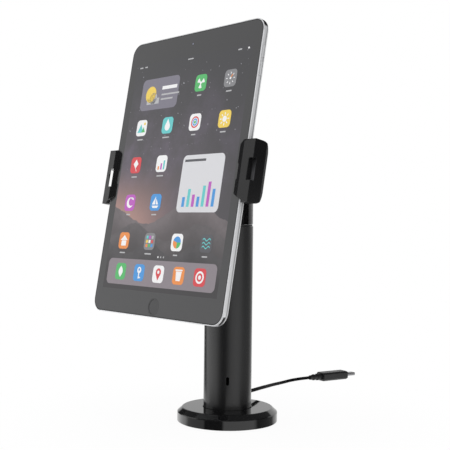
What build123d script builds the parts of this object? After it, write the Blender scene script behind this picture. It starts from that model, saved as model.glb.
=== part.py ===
from build123d import *
from math import acos, cos, pi, radians, sin, tan
import os

# Tablet security kiosk stand. Millimetres, +Z up, the tablet faces -Y.
# The origin is the centre of the foot, on the table.

# Clearances and overrun that all pieces share
fit_gap = 0.05
shaft_gap = 0.1
moving_gap = 0.3
cut_over = 1.0

# Foot, flange and cover
base_radius = 43.2
base_bevel_run = 4.5
base_bevel_rise = 3.9
base_height = 12.6
base_edge_break = 0.4
cover_wall = 2.4
cover_lift = 0.6
cover_pole_gap = 0.5
cover_seat_width = 2.0
cover_rib_offset = 2.5
cover_rib_width = 2.0
foot_thickness = 1.2
flange_thickness = 5.0
spigot_height = 9.0
spigot_bore_radius = 6.0
anchor_circle_radius = 31.0
anchor_hole_radius = 2.7
anchor_head_radius = 4.8
anchor_count = 4
grub_rise = 2.6
grub_radius = 1.75
grub_length = 7.0
grub_socket_width = 1.8
grub_socket_depth = 2.0
grub_count = 2
grub_spread_angle = 120.0

# Pole
pole_radius = 20.65
pole_wall = 2.5
pole_length = 162.3
pole_edge_break = 0.4
lock_slot_rise = 31.1
lock_slot_width = 2.6
lock_slot_length = 7.0
lock_slot_angle = -42.0

# Cable way in the pole
cord_diameter = 3.2
cable_exit_height = 19.8
cable_exit_angle = 106.0
cable_bend_radius = 16.0
grommet_body_radius = 4.1
grommet_flange_radius = 5.6
grommet_flange_thickness = 1.9
grommet_inner_lip = 1.2
grommet_edge_break = 0.6
socket_width = 13.0
socket_depth = 8.0
socket_length = 22.0
socket_edge_round = 1.5
socket_mouth_width = 8.4
socket_mouth_depth = 3.2
socket_mouth_length = 9.0
socket_rim_rise = 8.0
socket_rim_thickness = 3.0
socket_top_gap = 2.7

# Swivel
bush_length = 20.0
bush_bore_radius = 10.0
bush_flange_radius = 20.0
bush_flange_thickness = 1.1
spindle_bore_radius = 5.0
spindle_neck_radius = 8.0
spindle_neck_length = 6.0
spindle_tail = 1.4
swivel_washer_radius = 15.0
swivel_washer_thickness = 1.2
swivel_nut_width = 27.0
swivel_nut_thickness = 6.0
stop_circle_radius = 15.4
stop_pin_radius = 1.7
stop_pin_grip = 3.0
stop_groove_depth = 2.0
stop_web_width = 1.0

# Clevis head
head_radius = 20.4
head_floor = 9.0
pivot_rise = 29.5
head_over_pivot = 16.0
head_crown_run = 4.5
head_crown_break = 1.4
clevis_gap = 22.0
head_slot_width = 8.0
head_cheek_wall = 3.0

# Tilt hinge
lean_back_angle = 10.1
tilt_bolt_radius = 3.5
tilt_head_radius = 6.0
tilt_head_thickness = 4.0
tilt_seat = 4.0
tilt_socket_width = 5.0
tilt_socket_depth = 2.4
tilt_nut_width = 10.0
knuckle_radius = 12.0
knuckle_bore_gap = 0.15
tilt_washer_radius = 11.0
tilt_washer_thickness = 0.5

# Tilt arm and turning hub
arm_reach = 30.0
arm_width = 16.0
arm_height = 15.0
arm_flare_length = 5.5
arm_flare_step = 4.0
arm_flange_radius = 23.0
arm_flange_thickness = 4.0
hub_radius = 9.9
hub_screw_radius = 2.95
hub_screw_grip = 9.0
hub_washer_overhang = 4.1
hub_washer_thickness = 1.5
hub_screw_head_radius = 5.5
hub_screw_head_thickness = 2.7
hub_socket_width = 4.0
hub_socket_depth = 1.6
hub_friction_width = 4.4
hub_friction_thickness = 1.0
turn_stop_circle = 19.0
turn_stop_radius = 1.5
turn_stop_reach = 2.6
turn_stop_play = 0.4
turn_stop_angle = 45.0
turn_range_angle = 90.0

# Holder housing and its cover
housing_boss_radius = 24.0
housing_boss_height = 3.35
housing_half_width = 50.0
housing_wall = 2.6
housing_corner_round = 10.0
housing_back_break = 2.2
rack_front_gap = 1.25
cover_plate_thickness = 2.4
cover_edge_break = 0.8
cover_boss_radius = 5.0
cover_screw_inset_u = 8.0
cover_screw_inset_v = 6.0
cover_screw_radius = 1.3
cover_screw_length = 8.0
cover_screw_head_radius = 2.6
cover_screw_head_rise = 1.4
cover_screw_socket_width = 1.6
cover_screw_socket_depth = 1.0
screw_post_radius = 3.6
rail_ledge_overlap = 1.5
rail_wall_width = 2.5
rail_cam_gap = 3.0

# Back pad between holder and tablet
back_pad_width = 76.0
back_pad_height = 40.0
back_pad_thickness = 1.6
back_pad_round = 6.0
back_pad_groove_count = 5
back_pad_groove_width = 2.0
back_pad_groove_depth = 0.8
back_pad_groove_length = 60.0
back_pad_groove_pitch = 6.5

# Pinion and racks
tooth_module = 1.25
pinion_tooth_count = 16
pressure_angle = 25.0
backlash = 0.3
addendum_share = 0.9
dedendum_share = 1.25
rack_thickness = 4.0
rack_inner_tooth_count = 8
rack_outer_tooth_count = 2
rack_depth = 7.5
rack_plain_step = 0.5
rack_inner_tail = 2.6
paddle_gap = 4.0
paddle_far_edge = 12.0
paddle_round = 4.0
pinion_axle_radius = 3.0
axle_head_radius = 4.6
axle_head_thickness = 0.6
axle_head_gap = 0.85
pinion_collar_gap = 1.1
pinion_collar_wall = 1.4
pinion_collar_height = 2.6

# Spiral return spring
spring_half_turn_count = 7
spring_gap = 0.6
spring_strip = 0.5
spring_width = 3.6
spring_lift = 0.25
spring_tab_length = 2.0
spring_post_width = 3.0
spring_post_depth = 4.0

# Key lock
lock_inset = 20.0
lock_sleeve_wall = 1.3
lock_collar_width = 1.3
lock_collar_thickness = 1.0
lock_barrel_radius = 4.2
lock_barrel_inset = 0.35
lock_tang_width = 3.6
keyway_width = 0.9
keyway_length = 5.4
keyway_depth = 3.0
keyway_eye_radius = 1.3
cam_thickness = 3.0
cam_hub_radius = 3.2
cam_reach = 5.0
cam_lobe_round = 1.6

# Tablet of the common 9.7 inch size
tablet_width = 169.5
tablet_height = 240.0
tablet_thickness = 6.4
tablet_rise = 1.5
tablet_corner_round = 11.0
tablet_back_round = 3.0
tablet_rim_chamfer = 0.45
tablet_wall = 2.2
tablet_back_wall = 1.2
glass_rim = 1.0
glass_thickness = 0.9
display_side_border = 9.75
display_end_border = 20.5
display_thickness = 2.0
core_margin = 1.6
home_button_radius = 5.9
home_button_gap = 0.15
home_button_inset = 0.25
home_button_thickness = 1.5
home_button_lip = 0.5
home_button_lip_thickness = 0.5
rear_lens_inset = 12.0
rear_lens_radius = 3.6
rear_lens_proud = 0.5
key_height = 1.6
key_proud = 0.5
key_gap = 0.15
key_inner = 0.4
key_front_distance = 2.0
key_end_round = 0.7
volume_up_inset = 27.5
volume_up_length = 10.3
volume_down_inset = 41.1
volume_down_length = 11.5
sleep_key_inset = 22.75
sleep_key_length = 12.0
port_width = 8.4
port_height = 2.6
port_depth = 1.6
port_round = 1.2
speaker_hole_radius = 0.6
speaker_hole_pitch = 2.4
speaker_hole_count = 7
speaker_centre = 23.0

# Jaws
jaw_length = 48.5
jaw_wall = 7.8
jaw_pad_thickness = 1.45
jaw_lip_overlap = 7.25
jaw_ridge_overlap = 0.75
jaw_lip_tip = 0.4
jaw_ridge_rise = 2.8
jaw_corner_rise = 1.3
jaw_back_overhang = 0.45
jaw_bevel_run = 3.2
jaw_bevel_rise = 5.0
jaw_leg_length = 14.5
jaw_leg_gap = 0.8
jaw_top_back_round = 9.5
jaw_low_back_round = 11.5
jaw_front_round = 2.2
jaw_top_cut_run = 6.0
jaw_top_cut_fall = 3.5
jaw_low_cut_run = 14.0
jaw_low_cut_rise = 6.5
lip_notch_v = -0.5
lip_notch_length = 12.0
lip_notch_depth = 1.5
corner_slot_v = 1.0
corner_slot_length = 17.0
corner_slot_width = 4.0
corner_slot_drop = 2.5
tunnel_v = -1.0
tunnel_length = 16.0
tunnel_inset = 3.8
tunnel_width = 3.8
tunnel_angle = 34.6
pocket_apex_v = 1.4
pocket_reach = 3.4
pocket_depth = 2.4
side_notch_v = 0.5
side_notch_width = 3.6
side_notch_length = 5.6
side_notch_depth = 1.6
jaw_pad_length = 34.0
jaw_pad_front_drop = 1.0
jaw_pad_height = 5.2
jaw_screw_inset = 7.5
jaw_screw_pitch = 14.0
jaw_screw_radius = 1.5
jaw_screw_head_radius = 3.0
jaw_screw_head_thickness = 1.6
jaw_screw_grip = 3.4
jaw_screw_socket_width = 2.0
jaw_screw_socket_depth = 1.0

# Free cord behind the stand: its straight lead, the points that it passes, and what is on its end
cord_lead = 18.45
cord_run_share = 0.45
cord_turns = [
    (-27, 68, 17.2), (-48, 97, 12.6), (-70, 126, 7.8),
    (-88, 154, 3.8), (-92.5, 182, 4.4), (-89.4, 200.5, 4.4),
]
relief_length = 15.0
relief_small_radius = 2.4
relief_large_radius = 3.5
relief_rib_count = 2
relief_rib_width = 1.6
relief_rib_depth = 0.5
plug_length = 33.5
plug_width = 13.5
plug_height = 8.8
plug_edge_bevel = 1.6
plug_nose_length = 1.5
plug_nose_inset = 0.8
shell_width = 7.4
shell_height = 3.2
shell_length = 12.0
shell_wall = 0.4
shell_edge_bevel = 0.8
tongue_height = 0.9
tongue_inset = 1.0

# Heights up the stand
flange_top = foot_thickness + flange_thickness
grub_height = flange_top + grub_rise
pole_top = flange_top + pole_length
lock_slot_height = flange_top + lock_slot_rise
pole_inner_radius = pole_radius - pole_wall
flange_radius = base_radius - cover_wall - moving_gap
cover_ceiling = base_height - cover_wall
base_top_radius = base_radius - base_bevel_run
cord_radius = cord_diameter / 2
cable_exit_reach = pole_radius + grommet_flange_thickness
bush_bottom = pole_top - bush_length
bush_top = pole_top + bush_flange_thickness
head_bottom = bush_top + moving_gap
head_floor_top = head_bottom + head_floor
pivot_height = head_bottom + pivot_rise
head_top = pivot_height + head_over_pivot
spindle_radius = bush_bore_radius - shaft_gap
swivel_washer_bottom = bush_bottom - moving_gap - swivel_washer_thickness
swivel_nut_bottom = swivel_washer_bottom - swivel_nut_thickness
spindle_bottom = swivel_nut_bottom - spindle_tail
socket_bottom = spindle_bottom - socket_top_gap - socket_length
clevis_half = clevis_gap / 2
tilt_seat_reach = clevis_half + tilt_seat
tilt_end_reach = tilt_seat_reach + tilt_head_thickness
knuckle_half = clevis_half - moving_gap - tilt_washer_thickness

# Reaches forward of the tilt axis, square to the tablet
arm_flange_front = arm_reach + arm_flange_thickness
hub_friction_front = arm_flange_front + hub_friction_thickness
housing_boss_back = hub_friction_front + moving_gap
housing_back = housing_boss_back + housing_boss_height
housing_inner = housing_back + housing_wall
hub_end = housing_inner + moving_gap
hub_washer_front = hub_end + hub_washer_thickness
hub_screw_front = hub_washer_front + hub_screw_head_thickness
axle_head_back = hub_screw_front + axle_head_gap
axle_head_front = axle_head_back + axle_head_thickness
rack_back = axle_head_front + moving_gap
rack_front = rack_back + rack_thickness
cover_plate_back = rack_front + rack_front_gap
cover_plate_front = cover_plate_back + cover_plate_thickness
back_pad_front = cover_plate_front + back_pad_thickness
tablet_back = back_pad_front + moving_gap
glass_front = tablet_back + tablet_thickness
glass_back = glass_front - glass_thickness
display_back = glass_back - display_thickness
cavity_back = tablet_back + tablet_back_wall
key_reach = glass_front - key_front_distance

# Distances across the holder
tooth_pitch = pi * tooth_module
pinion_radius = tooth_module * pinion_tooth_count / 2
addendum = tooth_module * addendum_share
dedendum = tooth_module * dedendum_share
rack_outer_edge = pinion_radius + rack_depth
rack_plain_edge = pinion_radius - rack_plain_step
rail_ledge_edge = rack_outer_edge - rail_ledge_overlap
rail_wall_edge = rack_outer_edge + moving_gap
rail_outer_edge = rail_wall_edge + rail_wall_width
lock_u = housing_half_width - lock_inset
lock_v = -(rail_wall_edge + cam_reach)
lock_bore_radius = lock_barrel_radius + shaft_gap
lock_sleeve_radius = lock_bore_radius + lock_sleeve_wall
housing_half_height = lock_sleeve_radius + housing_wall - lock_v
cavity_half_width = housing_half_width - housing_wall
cavity_half_height = housing_half_height - housing_wall
screw_post_u = housing_half_width - cover_screw_inset_u
screw_post_v = housing_half_height - cover_screw_inset_v
collar_bore_radius = hub_screw_head_radius + pinion_collar_gap
collar_radius = collar_bore_radius + pinion_collar_wall
spring_start_radius = collar_radius + spring_gap + spring_strip / 2
spring_end_radius = rail_ledge_edge - spring_gap - spring_strip / 2
spring_growth = (spring_end_radius - spring_start_radius) / (spring_half_turn_count - 1)

# Distances outward on each jaw
tablet_half = tablet_width / 2
jaw_wall_reach = tablet_half + moving_gap + jaw_pad_thickness
jaw_outer_reach = jaw_wall_reach + jaw_wall
jaw_lip_reach = tablet_half - jaw_lip_overlap
jaw_ridge_reach = tablet_half - jaw_ridge_overlap
jaw_leg_reach = jaw_wall_reach - jaw_leg_length
jaw_leg_front = tablet_back - jaw_leg_gap
jaw_back = rack_back - jaw_back_overhang
paddle_start = housing_half_width + paddle_gap
paddle_end = jaw_wall_reach - moving_gap
jaw_screw_reach = jaw_wall_reach - jaw_screw_inset
jaw_screw_middle = (rack_outer_edge - paddle_far_edge) / 2

pivot = Vector(0, 0, pivot_height)
facing = Vector(0, -cos(radians(lean_back_angle)), sin(radians(lean_back_angle)))
rising = Vector(0, sin(radians(lean_back_angle)), cos(radians(lean_back_angle)))
hub_axis = Axis(pivot, facing)


def level(height):
    """Horizontal plane."""
    return Plane.XY.offset(height)


def radial(angle, height, distance):
    """Plane square to a radius of the pole: x is up."""
    direction = (cos(radians(angle)), sin(radians(angle)), 0)
    return Plane(origin=(0, 0, height), x_dir=(0, 0, 1), z_dir=direction).offset(distance)


def cheek(side, distance):
    """Plane square to the tilt axis, seen from one side of the head: y is up."""
    return Plane(origin=(0, 0, pivot_height), x_dir=(0, side, 0), z_dir=(side, 0, 0)).offset(distance)


def front(reach):
    """Plane parallel to the tablet: x is across, y is up the tablet."""
    return Plane(origin=pivot, x_dir=(1, 0, 0), z_dir=facing).offset(reach)


def across(rise):
    """Section across the jaws at a rise up the tablet: x is across, y is forward."""
    return Plane(origin=pivot + rising * rise, x_dir=(1, 0, 0), z_dir=rising * -1)


def beside(outward):
    """Side view plane: x is up the tablet, y is forward."""
    return Plane(origin=pivot + Vector(outward, 0, 0), x_dir=rising, z_dir=(1, 0, 0))


def polar(radius, angle):
    return (radius * cos(angle), radius * sin(angle))


def keep(piece, name):
    piece.part.label = name
    export_step(piece.part, f"parts/{name}.step")


def make_ring(plane, outer_radius, inner_radius, thickness):
    with BuildPart() as ring:
        with BuildSketch(plane):
            Circle(outer_radius)
            Circle(inner_radius, mode=Mode.SUBTRACT)
        extrude(amount=thickness)
    return ring


def make_socket_screw(plane, head_radius, head_thickness, shank_radius, shank_length, hex_width, hex_depth):
    """Screw whose head sits on the plane and points out of it."""
    with BuildPart() as screw:
        with BuildSketch(plane):
            Circle(head_radius)
        extrude(amount=head_thickness)
        with BuildSketch(plane):
            Circle(shank_radius)
        extrude(amount=-shank_length)
        with BuildSketch(plane.offset(head_thickness - hex_depth)):
            RegularPolygon(hex_width / 2, 6, major_radius=False)
        extrude(amount=hex_depth, mode=Mode.SUBTRACT)
    return screw


os.makedirs("parts", exist_ok=True)

# Foot: a rubber disc with the four anchor holes
with BuildPart() as rubber_foot_pad:
    with BuildSketch():
        Circle(flange_radius)
        with PolarLocations(anchor_circle_radius, anchor_count, start_angle=180 / anchor_count):
            Circle(anchor_hole_radius, mode=Mode.SUBTRACT)
    extrude(amount=foot_thickness)
keep(rubber_foot_pad, "rubber_foot_pad")

# Flange: a steel disc with the spigot that the pole stands over
grub_angles = [-90 + grub_spread_angle * (turn - (grub_count - 1) / 2) for turn in range(grub_count)]
with BuildPart() as base_flange:
    with BuildSketch(level(foot_thickness)):
        Circle(flange_radius)
    extrude(amount=flange_thickness)
    with BuildSketch(level(flange_top)):
        Circle(pole_inner_radius - fit_gap)
    extrude(amount=spigot_height)
    with BuildSketch(level(foot_thickness)):
        Circle(spigot_bore_radius)
    extrude(amount=flange_thickness + spigot_height, mode=Mode.SUBTRACT)
    with Locations(level(flange_top)):
        with PolarLocations(anchor_circle_radius, anchor_count, start_angle=180 / anchor_count):
            CounterSinkHole(anchor_hole_radius, anchor_head_radius)
    for angle in grub_angles:
        with BuildSketch(radial(angle, grub_height, pole_radius - grub_length)):
            Circle(grub_radius)
        extrude(amount=grub_length, mode=Mode.SUBTRACT)
keep(base_flange, "base_flange")

# Cover: a turned dish that sits on the rim of the flange and on an inner rib
cover_bore_radius = pole_radius + cover_pole_gap
cover_rib_radius = cover_bore_radius + cover_rib_offset
with BuildPart() as base_cover:
    with BuildSketch(Plane.XZ):
        with BuildLine():
            Polyline(
                (base_radius, cover_lift),
                (base_radius, base_height - base_bevel_rise),
                (base_top_radius, base_height),
                (cover_bore_radius, base_height),
                (cover_bore_radius, cover_ceiling),
                (cover_rib_radius, cover_ceiling),
                (cover_rib_radius, flange_top),
                (cover_rib_radius + cover_rib_width, flange_top),
                (cover_rib_radius + cover_rib_width, cover_ceiling),
                (base_top_radius - cover_wall, cover_ceiling),
                (flange_radius - cover_seat_width, flange_top),
                (flange_radius + moving_gap, flange_top),
                (flange_radius + moving_gap, cover_lift),
                close=True,
            )
        make_face()
        rim_corners = vertices().group_by(Axis.X)[-1] + vertices().group_by(Axis.Y)[-1]
        chamfer(rim_corners, length=base_edge_break)
    revolve(axis=Axis.Z)
keep(base_cover, "base_cover")

# Pole: a tube with the lock slot, the cable hole and the grub screw holes
with BuildPart() as pole_tube:
    with BuildSketch(level(flange_top)):
        Circle(pole_radius)
        Circle(pole_inner_radius, mode=Mode.SUBTRACT)
    extrude(amount=pole_length)
    chamfer(edges().group_by(Axis.Z)[-1].sort_by(SortBy.RADIUS)[-1], length=pole_edge_break)
    with BuildSketch(radial(lock_slot_angle, lock_slot_height, pole_inner_radius - cut_over)):
        SlotOverall(lock_slot_length, lock_slot_width)
    extrude(amount=pole_wall + 2 * cut_over, mode=Mode.SUBTRACT)
    with BuildSketch(radial(cable_exit_angle, cable_exit_height, pole_inner_radius - cut_over)):
        Circle(grommet_body_radius + fit_gap)
    extrude(amount=pole_wall + 2 * cut_over, mode=Mode.SUBTRACT)
    for angle in grub_angles:
        with BuildSketch(radial(angle, grub_height, pole_radius - grub_length)):
            Circle(grub_radius)
        extrude(amount=grub_length + cut_over, mode=Mode.SUBTRACT)
keep(pole_tube, "pole_tube")

# Grub screws: cut to the curve of the pole, with a hexagon socket
for number, angle in enumerate(grub_angles, start=1):
    with BuildPart() as pole_grub_screw:
        with BuildSketch(radial(angle, grub_height, pole_radius - grub_length)):
            Circle(grub_radius)
        extrude(amount=grub_length)
        with BuildSketch(level(grub_height - grub_radius)):
            Circle(pole_radius - fit_gap)
        extrude(amount=2 * grub_radius, mode=Mode.INTERSECT)
        with BuildSketch(radial(angle, grub_height, pole_radius - grub_socket_depth)):
            RegularPolygon(grub_socket_width / 2, 6, major_radius=False)
        extrude(amount=grub_socket_depth, mode=Mode.SUBTRACT)
    keep(pole_grub_screw, f"pole_grub_screw_{number}")

# Grommet: its flange lies on the curve of the pole
exit_plane = radial(cable_exit_angle, cable_exit_height, cable_exit_reach)
exit_axis = Axis(exit_plane.origin, exit_plane.z_dir)
with BuildPart() as cable_grommet:
    with BuildSketch(radial(cable_exit_angle, cable_exit_height, pole_inner_radius)):
        Circle(grommet_flange_radius)
    extrude(amount=pole_wall + grommet_flange_thickness)
    chamfer(faces().sort_by(exit_axis)[-1].edges(), length=grommet_edge_break)
    with BuildSketch(level(cable_exit_height - grommet_flange_radius - cut_over)):
        Circle(pole_radius)
    extrude(amount=2 * (grommet_flange_radius + cut_over), mode=Mode.SUBTRACT)
    with BuildSketch(radial(cable_exit_angle, cable_exit_height, pole_inner_radius - grommet_inner_lip)):
        Circle(grommet_body_radius)
    extrude(amount=grommet_inner_lip + pole_wall + grommet_flange_thickness / 2)
    with BuildSketch(radial(cable_exit_angle, cable_exit_height, 0)):
        Circle(cord_radius)
    extrude(amount=cable_exit_reach, mode=Mode.SUBTRACT)
keep(cable_grommet, "cable_grommet")

# Cable inside the pole: through the grommet, a bend, and up to the socket
with BuildPart() as cable_inner_run:
    with BuildLine():
        FilletPolyline(
            exit_plane.origin,
            (0, 0, cable_exit_height),
            (0, 0, socket_bottom),
            radius=cable_bend_radius,
        )
    with BuildSketch(exit_plane):
        Circle(cord_radius)
    sweep()
keep(cable_inner_run, "cable_inner_run")

# Socket: a moulded block on a round rim that grips the pole's bore
with BuildPart() as cable_socket:
    with BuildSketch(level(socket_bottom)):
        RectangleRounded(socket_width, socket_depth, socket_edge_round)
    extrude(amount=socket_length)
    with BuildSketch(level(socket_bottom + socket_rim_rise)):
        Circle(pole_inner_radius)
    extrude(amount=socket_rim_thickness)
    with BuildSketch(level(socket_bottom + socket_length - socket_mouth_length)):
        Rectangle(socket_mouth_width, socket_mouth_depth)
    extrude(amount=socket_mouth_length, mode=Mode.SUBTRACT)
keep(cable_socket, "cable_socket")

# Swivel bush: flanged, with a groove that lets the stop pin go round but for one web
with BuildPart() as swivel_bush:
    with BuildSketch(level(bush_bottom)):
        Circle(pole_inner_radius - fit_gap)
    extrude(amount=bush_length)
    with BuildSketch(level(pole_top)):
        Circle(bush_flange_radius)
    extrude(amount=bush_flange_thickness)
    with BuildSketch(level(bush_bottom)):
        Circle(bush_bore_radius)
    extrude(amount=bush_length + bush_flange_thickness, mode=Mode.SUBTRACT)
    with BuildSketch(level(bush_top - stop_groove_depth)):
        Circle(stop_circle_radius + stop_pin_radius + moving_gap)
        Circle(stop_circle_radius - stop_pin_radius - moving_gap, mode=Mode.SUBTRACT)
        Rectangle(stop_web_width, bush_flange_radius, align=(Align.CENTER, Align.MAX), mode=Mode.SUBTRACT)
    extrude(amount=stop_groove_depth, mode=Mode.SUBTRACT)
keep(swivel_bush, "swivel_bush")

# Swivel spindle, washer, nut and stop pin
with BuildPart() as swivel_spindle:
    with BuildSketch(level(spindle_bottom)):
        Circle(spindle_radius)
    extrude(amount=head_bottom - spindle_bottom)
    with BuildSketch(level(head_bottom)):
        Circle(spindle_neck_radius)
    extrude(amount=spindle_neck_length)
    with BuildSketch(level(spindle_bottom)):
        Circle(spindle_bore_radius)
    extrude(amount=head_bottom + spindle_neck_length - spindle_bottom, mode=Mode.SUBTRACT)
keep(swivel_spindle, "swivel_spindle")

swivel_washer = make_ring(
    level(swivel_washer_bottom), swivel_washer_radius, spindle_radius + fit_gap, swivel_washer_thickness
)
keep(swivel_washer, "swivel_washer")

with BuildPart() as swivel_nut:
    with BuildSketch(level(swivel_nut_bottom)):
        RegularPolygon(swivel_nut_width / 2, 6, major_radius=False)
        Circle(spindle_radius, mode=Mode.SUBTRACT)
    extrude(amount=swivel_nut_thickness)
keep(swivel_nut, "swivel_nut")

stop_pin_bottom = bush_top - stop_groove_depth + moving_gap
with BuildPart() as swivel_stop_pin:
    with BuildSketch(level(stop_pin_bottom)):
        with Locations((0, stop_circle_radius)):
            Circle(stop_pin_radius)
    extrude(amount=head_bottom + stop_pin_grip - stop_pin_bottom)
keep(swivel_stop_pin, "swivel_stop_pin")

# Head: a turned clevis with a slot up each side to the tilt bolt
with BuildPart() as head_shell:
    with BuildSketch(Plane.XZ):
        with BuildLine():
            Polyline(
                (0, head_bottom),
                (head_radius - pole_edge_break, head_bottom),
                (head_radius, head_bottom + pole_edge_break),
                (head_radius, head_top - head_crown_run),
                (head_radius - head_crown_break, head_top - head_crown_break),
                (head_radius - head_crown_run, head_top),
                (0, head_top),
                close=True,
            )
        make_face()
    revolve(axis=Axis.Z)
    with BuildSketch(level(head_floor_top)):
        Rectangle(clevis_gap, 2 * (head_radius + cut_over))
    extrude(amount=head_top + cut_over - head_floor_top, mode=Mode.SUBTRACT)
    with BuildSketch(level(head_bottom)):
        Circle(spindle_neck_radius)
    extrude(amount=spindle_neck_length, mode=Mode.SUBTRACT)
    with BuildSketch(level(head_bottom)):
        Circle(spindle_bore_radius)
    extrude(amount=head_floor, mode=Mode.SUBTRACT)
    with BuildSketch(level(head_bottom)):
        with Locations((0, stop_circle_radius)):
            Circle(stop_pin_radius)
    extrude(amount=stop_pin_grip, mode=Mode.SUBTRACT)
    for side in (1, -1):
        with BuildSketch(cheek(side, clevis_half + head_cheek_wall)):
            Circle(head_slot_width / 2)
            Rectangle(head_slot_width, pivot_rise + cut_over, align=(Align.CENTER, Align.MAX))
        extrude(amount=head_radius + cut_over - clevis_half - head_cheek_wall, mode=Mode.SUBTRACT)
        with BuildSketch(cheek(side, tilt_seat_reach)):
            Circle(tilt_head_radius + moving_gap)
        extrude(amount=head_radius + cut_over - tilt_seat_reach, mode=Mode.SUBTRACT)
        with BuildSketch(cheek(side, clevis_half)):
            Circle(tilt_bolt_radius)
        extrude(amount=tilt_seat + cut_over, mode=Mode.SUBTRACT)
keep(head_shell, "head_shell")

# Tilt bolt and nut
tilt_bolt = make_socket_screw(
    cheek(1, tilt_seat_reach), tilt_head_radius, tilt_head_thickness, tilt_bolt_radius,
    tilt_seat_reach + tilt_end_reach, tilt_socket_width, tilt_socket_depth,
)
keep(tilt_bolt, "tilt_bolt")

with BuildPart() as tilt_nut:
    with BuildSketch(cheek(-1, tilt_seat_reach)):
        RegularPolygon(tilt_nut_width / 2, 6, major_radius=False)
        Circle(tilt_bolt_radius, mode=Mode.SUBTRACT)
    extrude(amount=tilt_head_thickness)
keep(tilt_nut, "tilt_nut")

# Tilt arm: knuckle, neck, flared flange with the turn stop's groove, and hub
turn_stop_arc = CenterArc((0, 0), turn_stop_circle, turn_stop_angle, turn_range_angle)
with BuildPart() as tilt_arm:
    with BuildSketch(beside(-knuckle_half)):
        Circle(knuckle_radius)
    extrude(amount=2 * knuckle_half)
    with BuildSketch(front(0)):
        Rectangle(arm_width, arm_height)
    extrude(amount=arm_reach)
    with BuildSketch(across(0)):
        with BuildLine():
            Polyline(
                (0, arm_reach - arm_flare_length),
                (arm_width / 2, arm_reach - arm_flare_length),
                (arm_flange_radius - arm_flare_step, arm_reach),
                (arm_flange_radius, arm_reach),
                (arm_flange_radius, arm_flange_front),
                (hub_radius, arm_flange_front),
                (hub_radius, hub_end),
                (0, hub_end),
                close=True,
            )
        make_face()
    revolve(axis=hub_axis)
    with BuildSketch(beside(-knuckle_half)):
        Circle(tilt_bolt_radius + knuckle_bore_gap)
    extrude(amount=2 * knuckle_half, mode=Mode.SUBTRACT)
    with BuildSketch(front(hub_end - hub_screw_grip)):
        Circle(hub_screw_radius)
    extrude(amount=hub_screw_grip, mode=Mode.SUBTRACT)
    with BuildSketch(front(arm_flange_front - turn_stop_reach - moving_gap)):
        SlotArc(turn_stop_arc, 2 * (turn_stop_radius + turn_stop_play))
    extrude(amount=turn_stop_reach + moving_gap, mode=Mode.SUBTRACT)
keep(tilt_arm, "tilt_arm")

for name, start in (("left", -knuckle_half - tilt_washer_thickness), ("right", knuckle_half)):
    tilt_washer = make_ring(
        beside(start), tilt_washer_radius, tilt_bolt_radius + knuckle_bore_gap, tilt_washer_thickness
    )
    keep(tilt_washer, f"tilt_washer_{name}")

# Turning hub: friction washer, retaining washer and screw
hub_friction_washer = make_ring(
    front(arm_flange_front), hub_radius + shaft_gap + hub_friction_width, hub_radius + shaft_gap,
    hub_friction_thickness,
)
keep(hub_friction_washer, "hub_friction_washer")

hub_retaining_washer = make_ring(
    front(hub_end), hub_radius + hub_washer_overhang, hub_screw_radius + shaft_gap, hub_washer_thickness
)
keep(hub_retaining_washer, "hub_retaining_washer")

hub_screw = make_socket_screw(
    front(hub_washer_front), hub_screw_head_radius, hub_screw_head_thickness, hub_screw_radius,
    hub_washer_thickness + hub_screw_grip, hub_socket_width, hub_socket_depth,
)
keep(hub_screw, "hub_screw")

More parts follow.
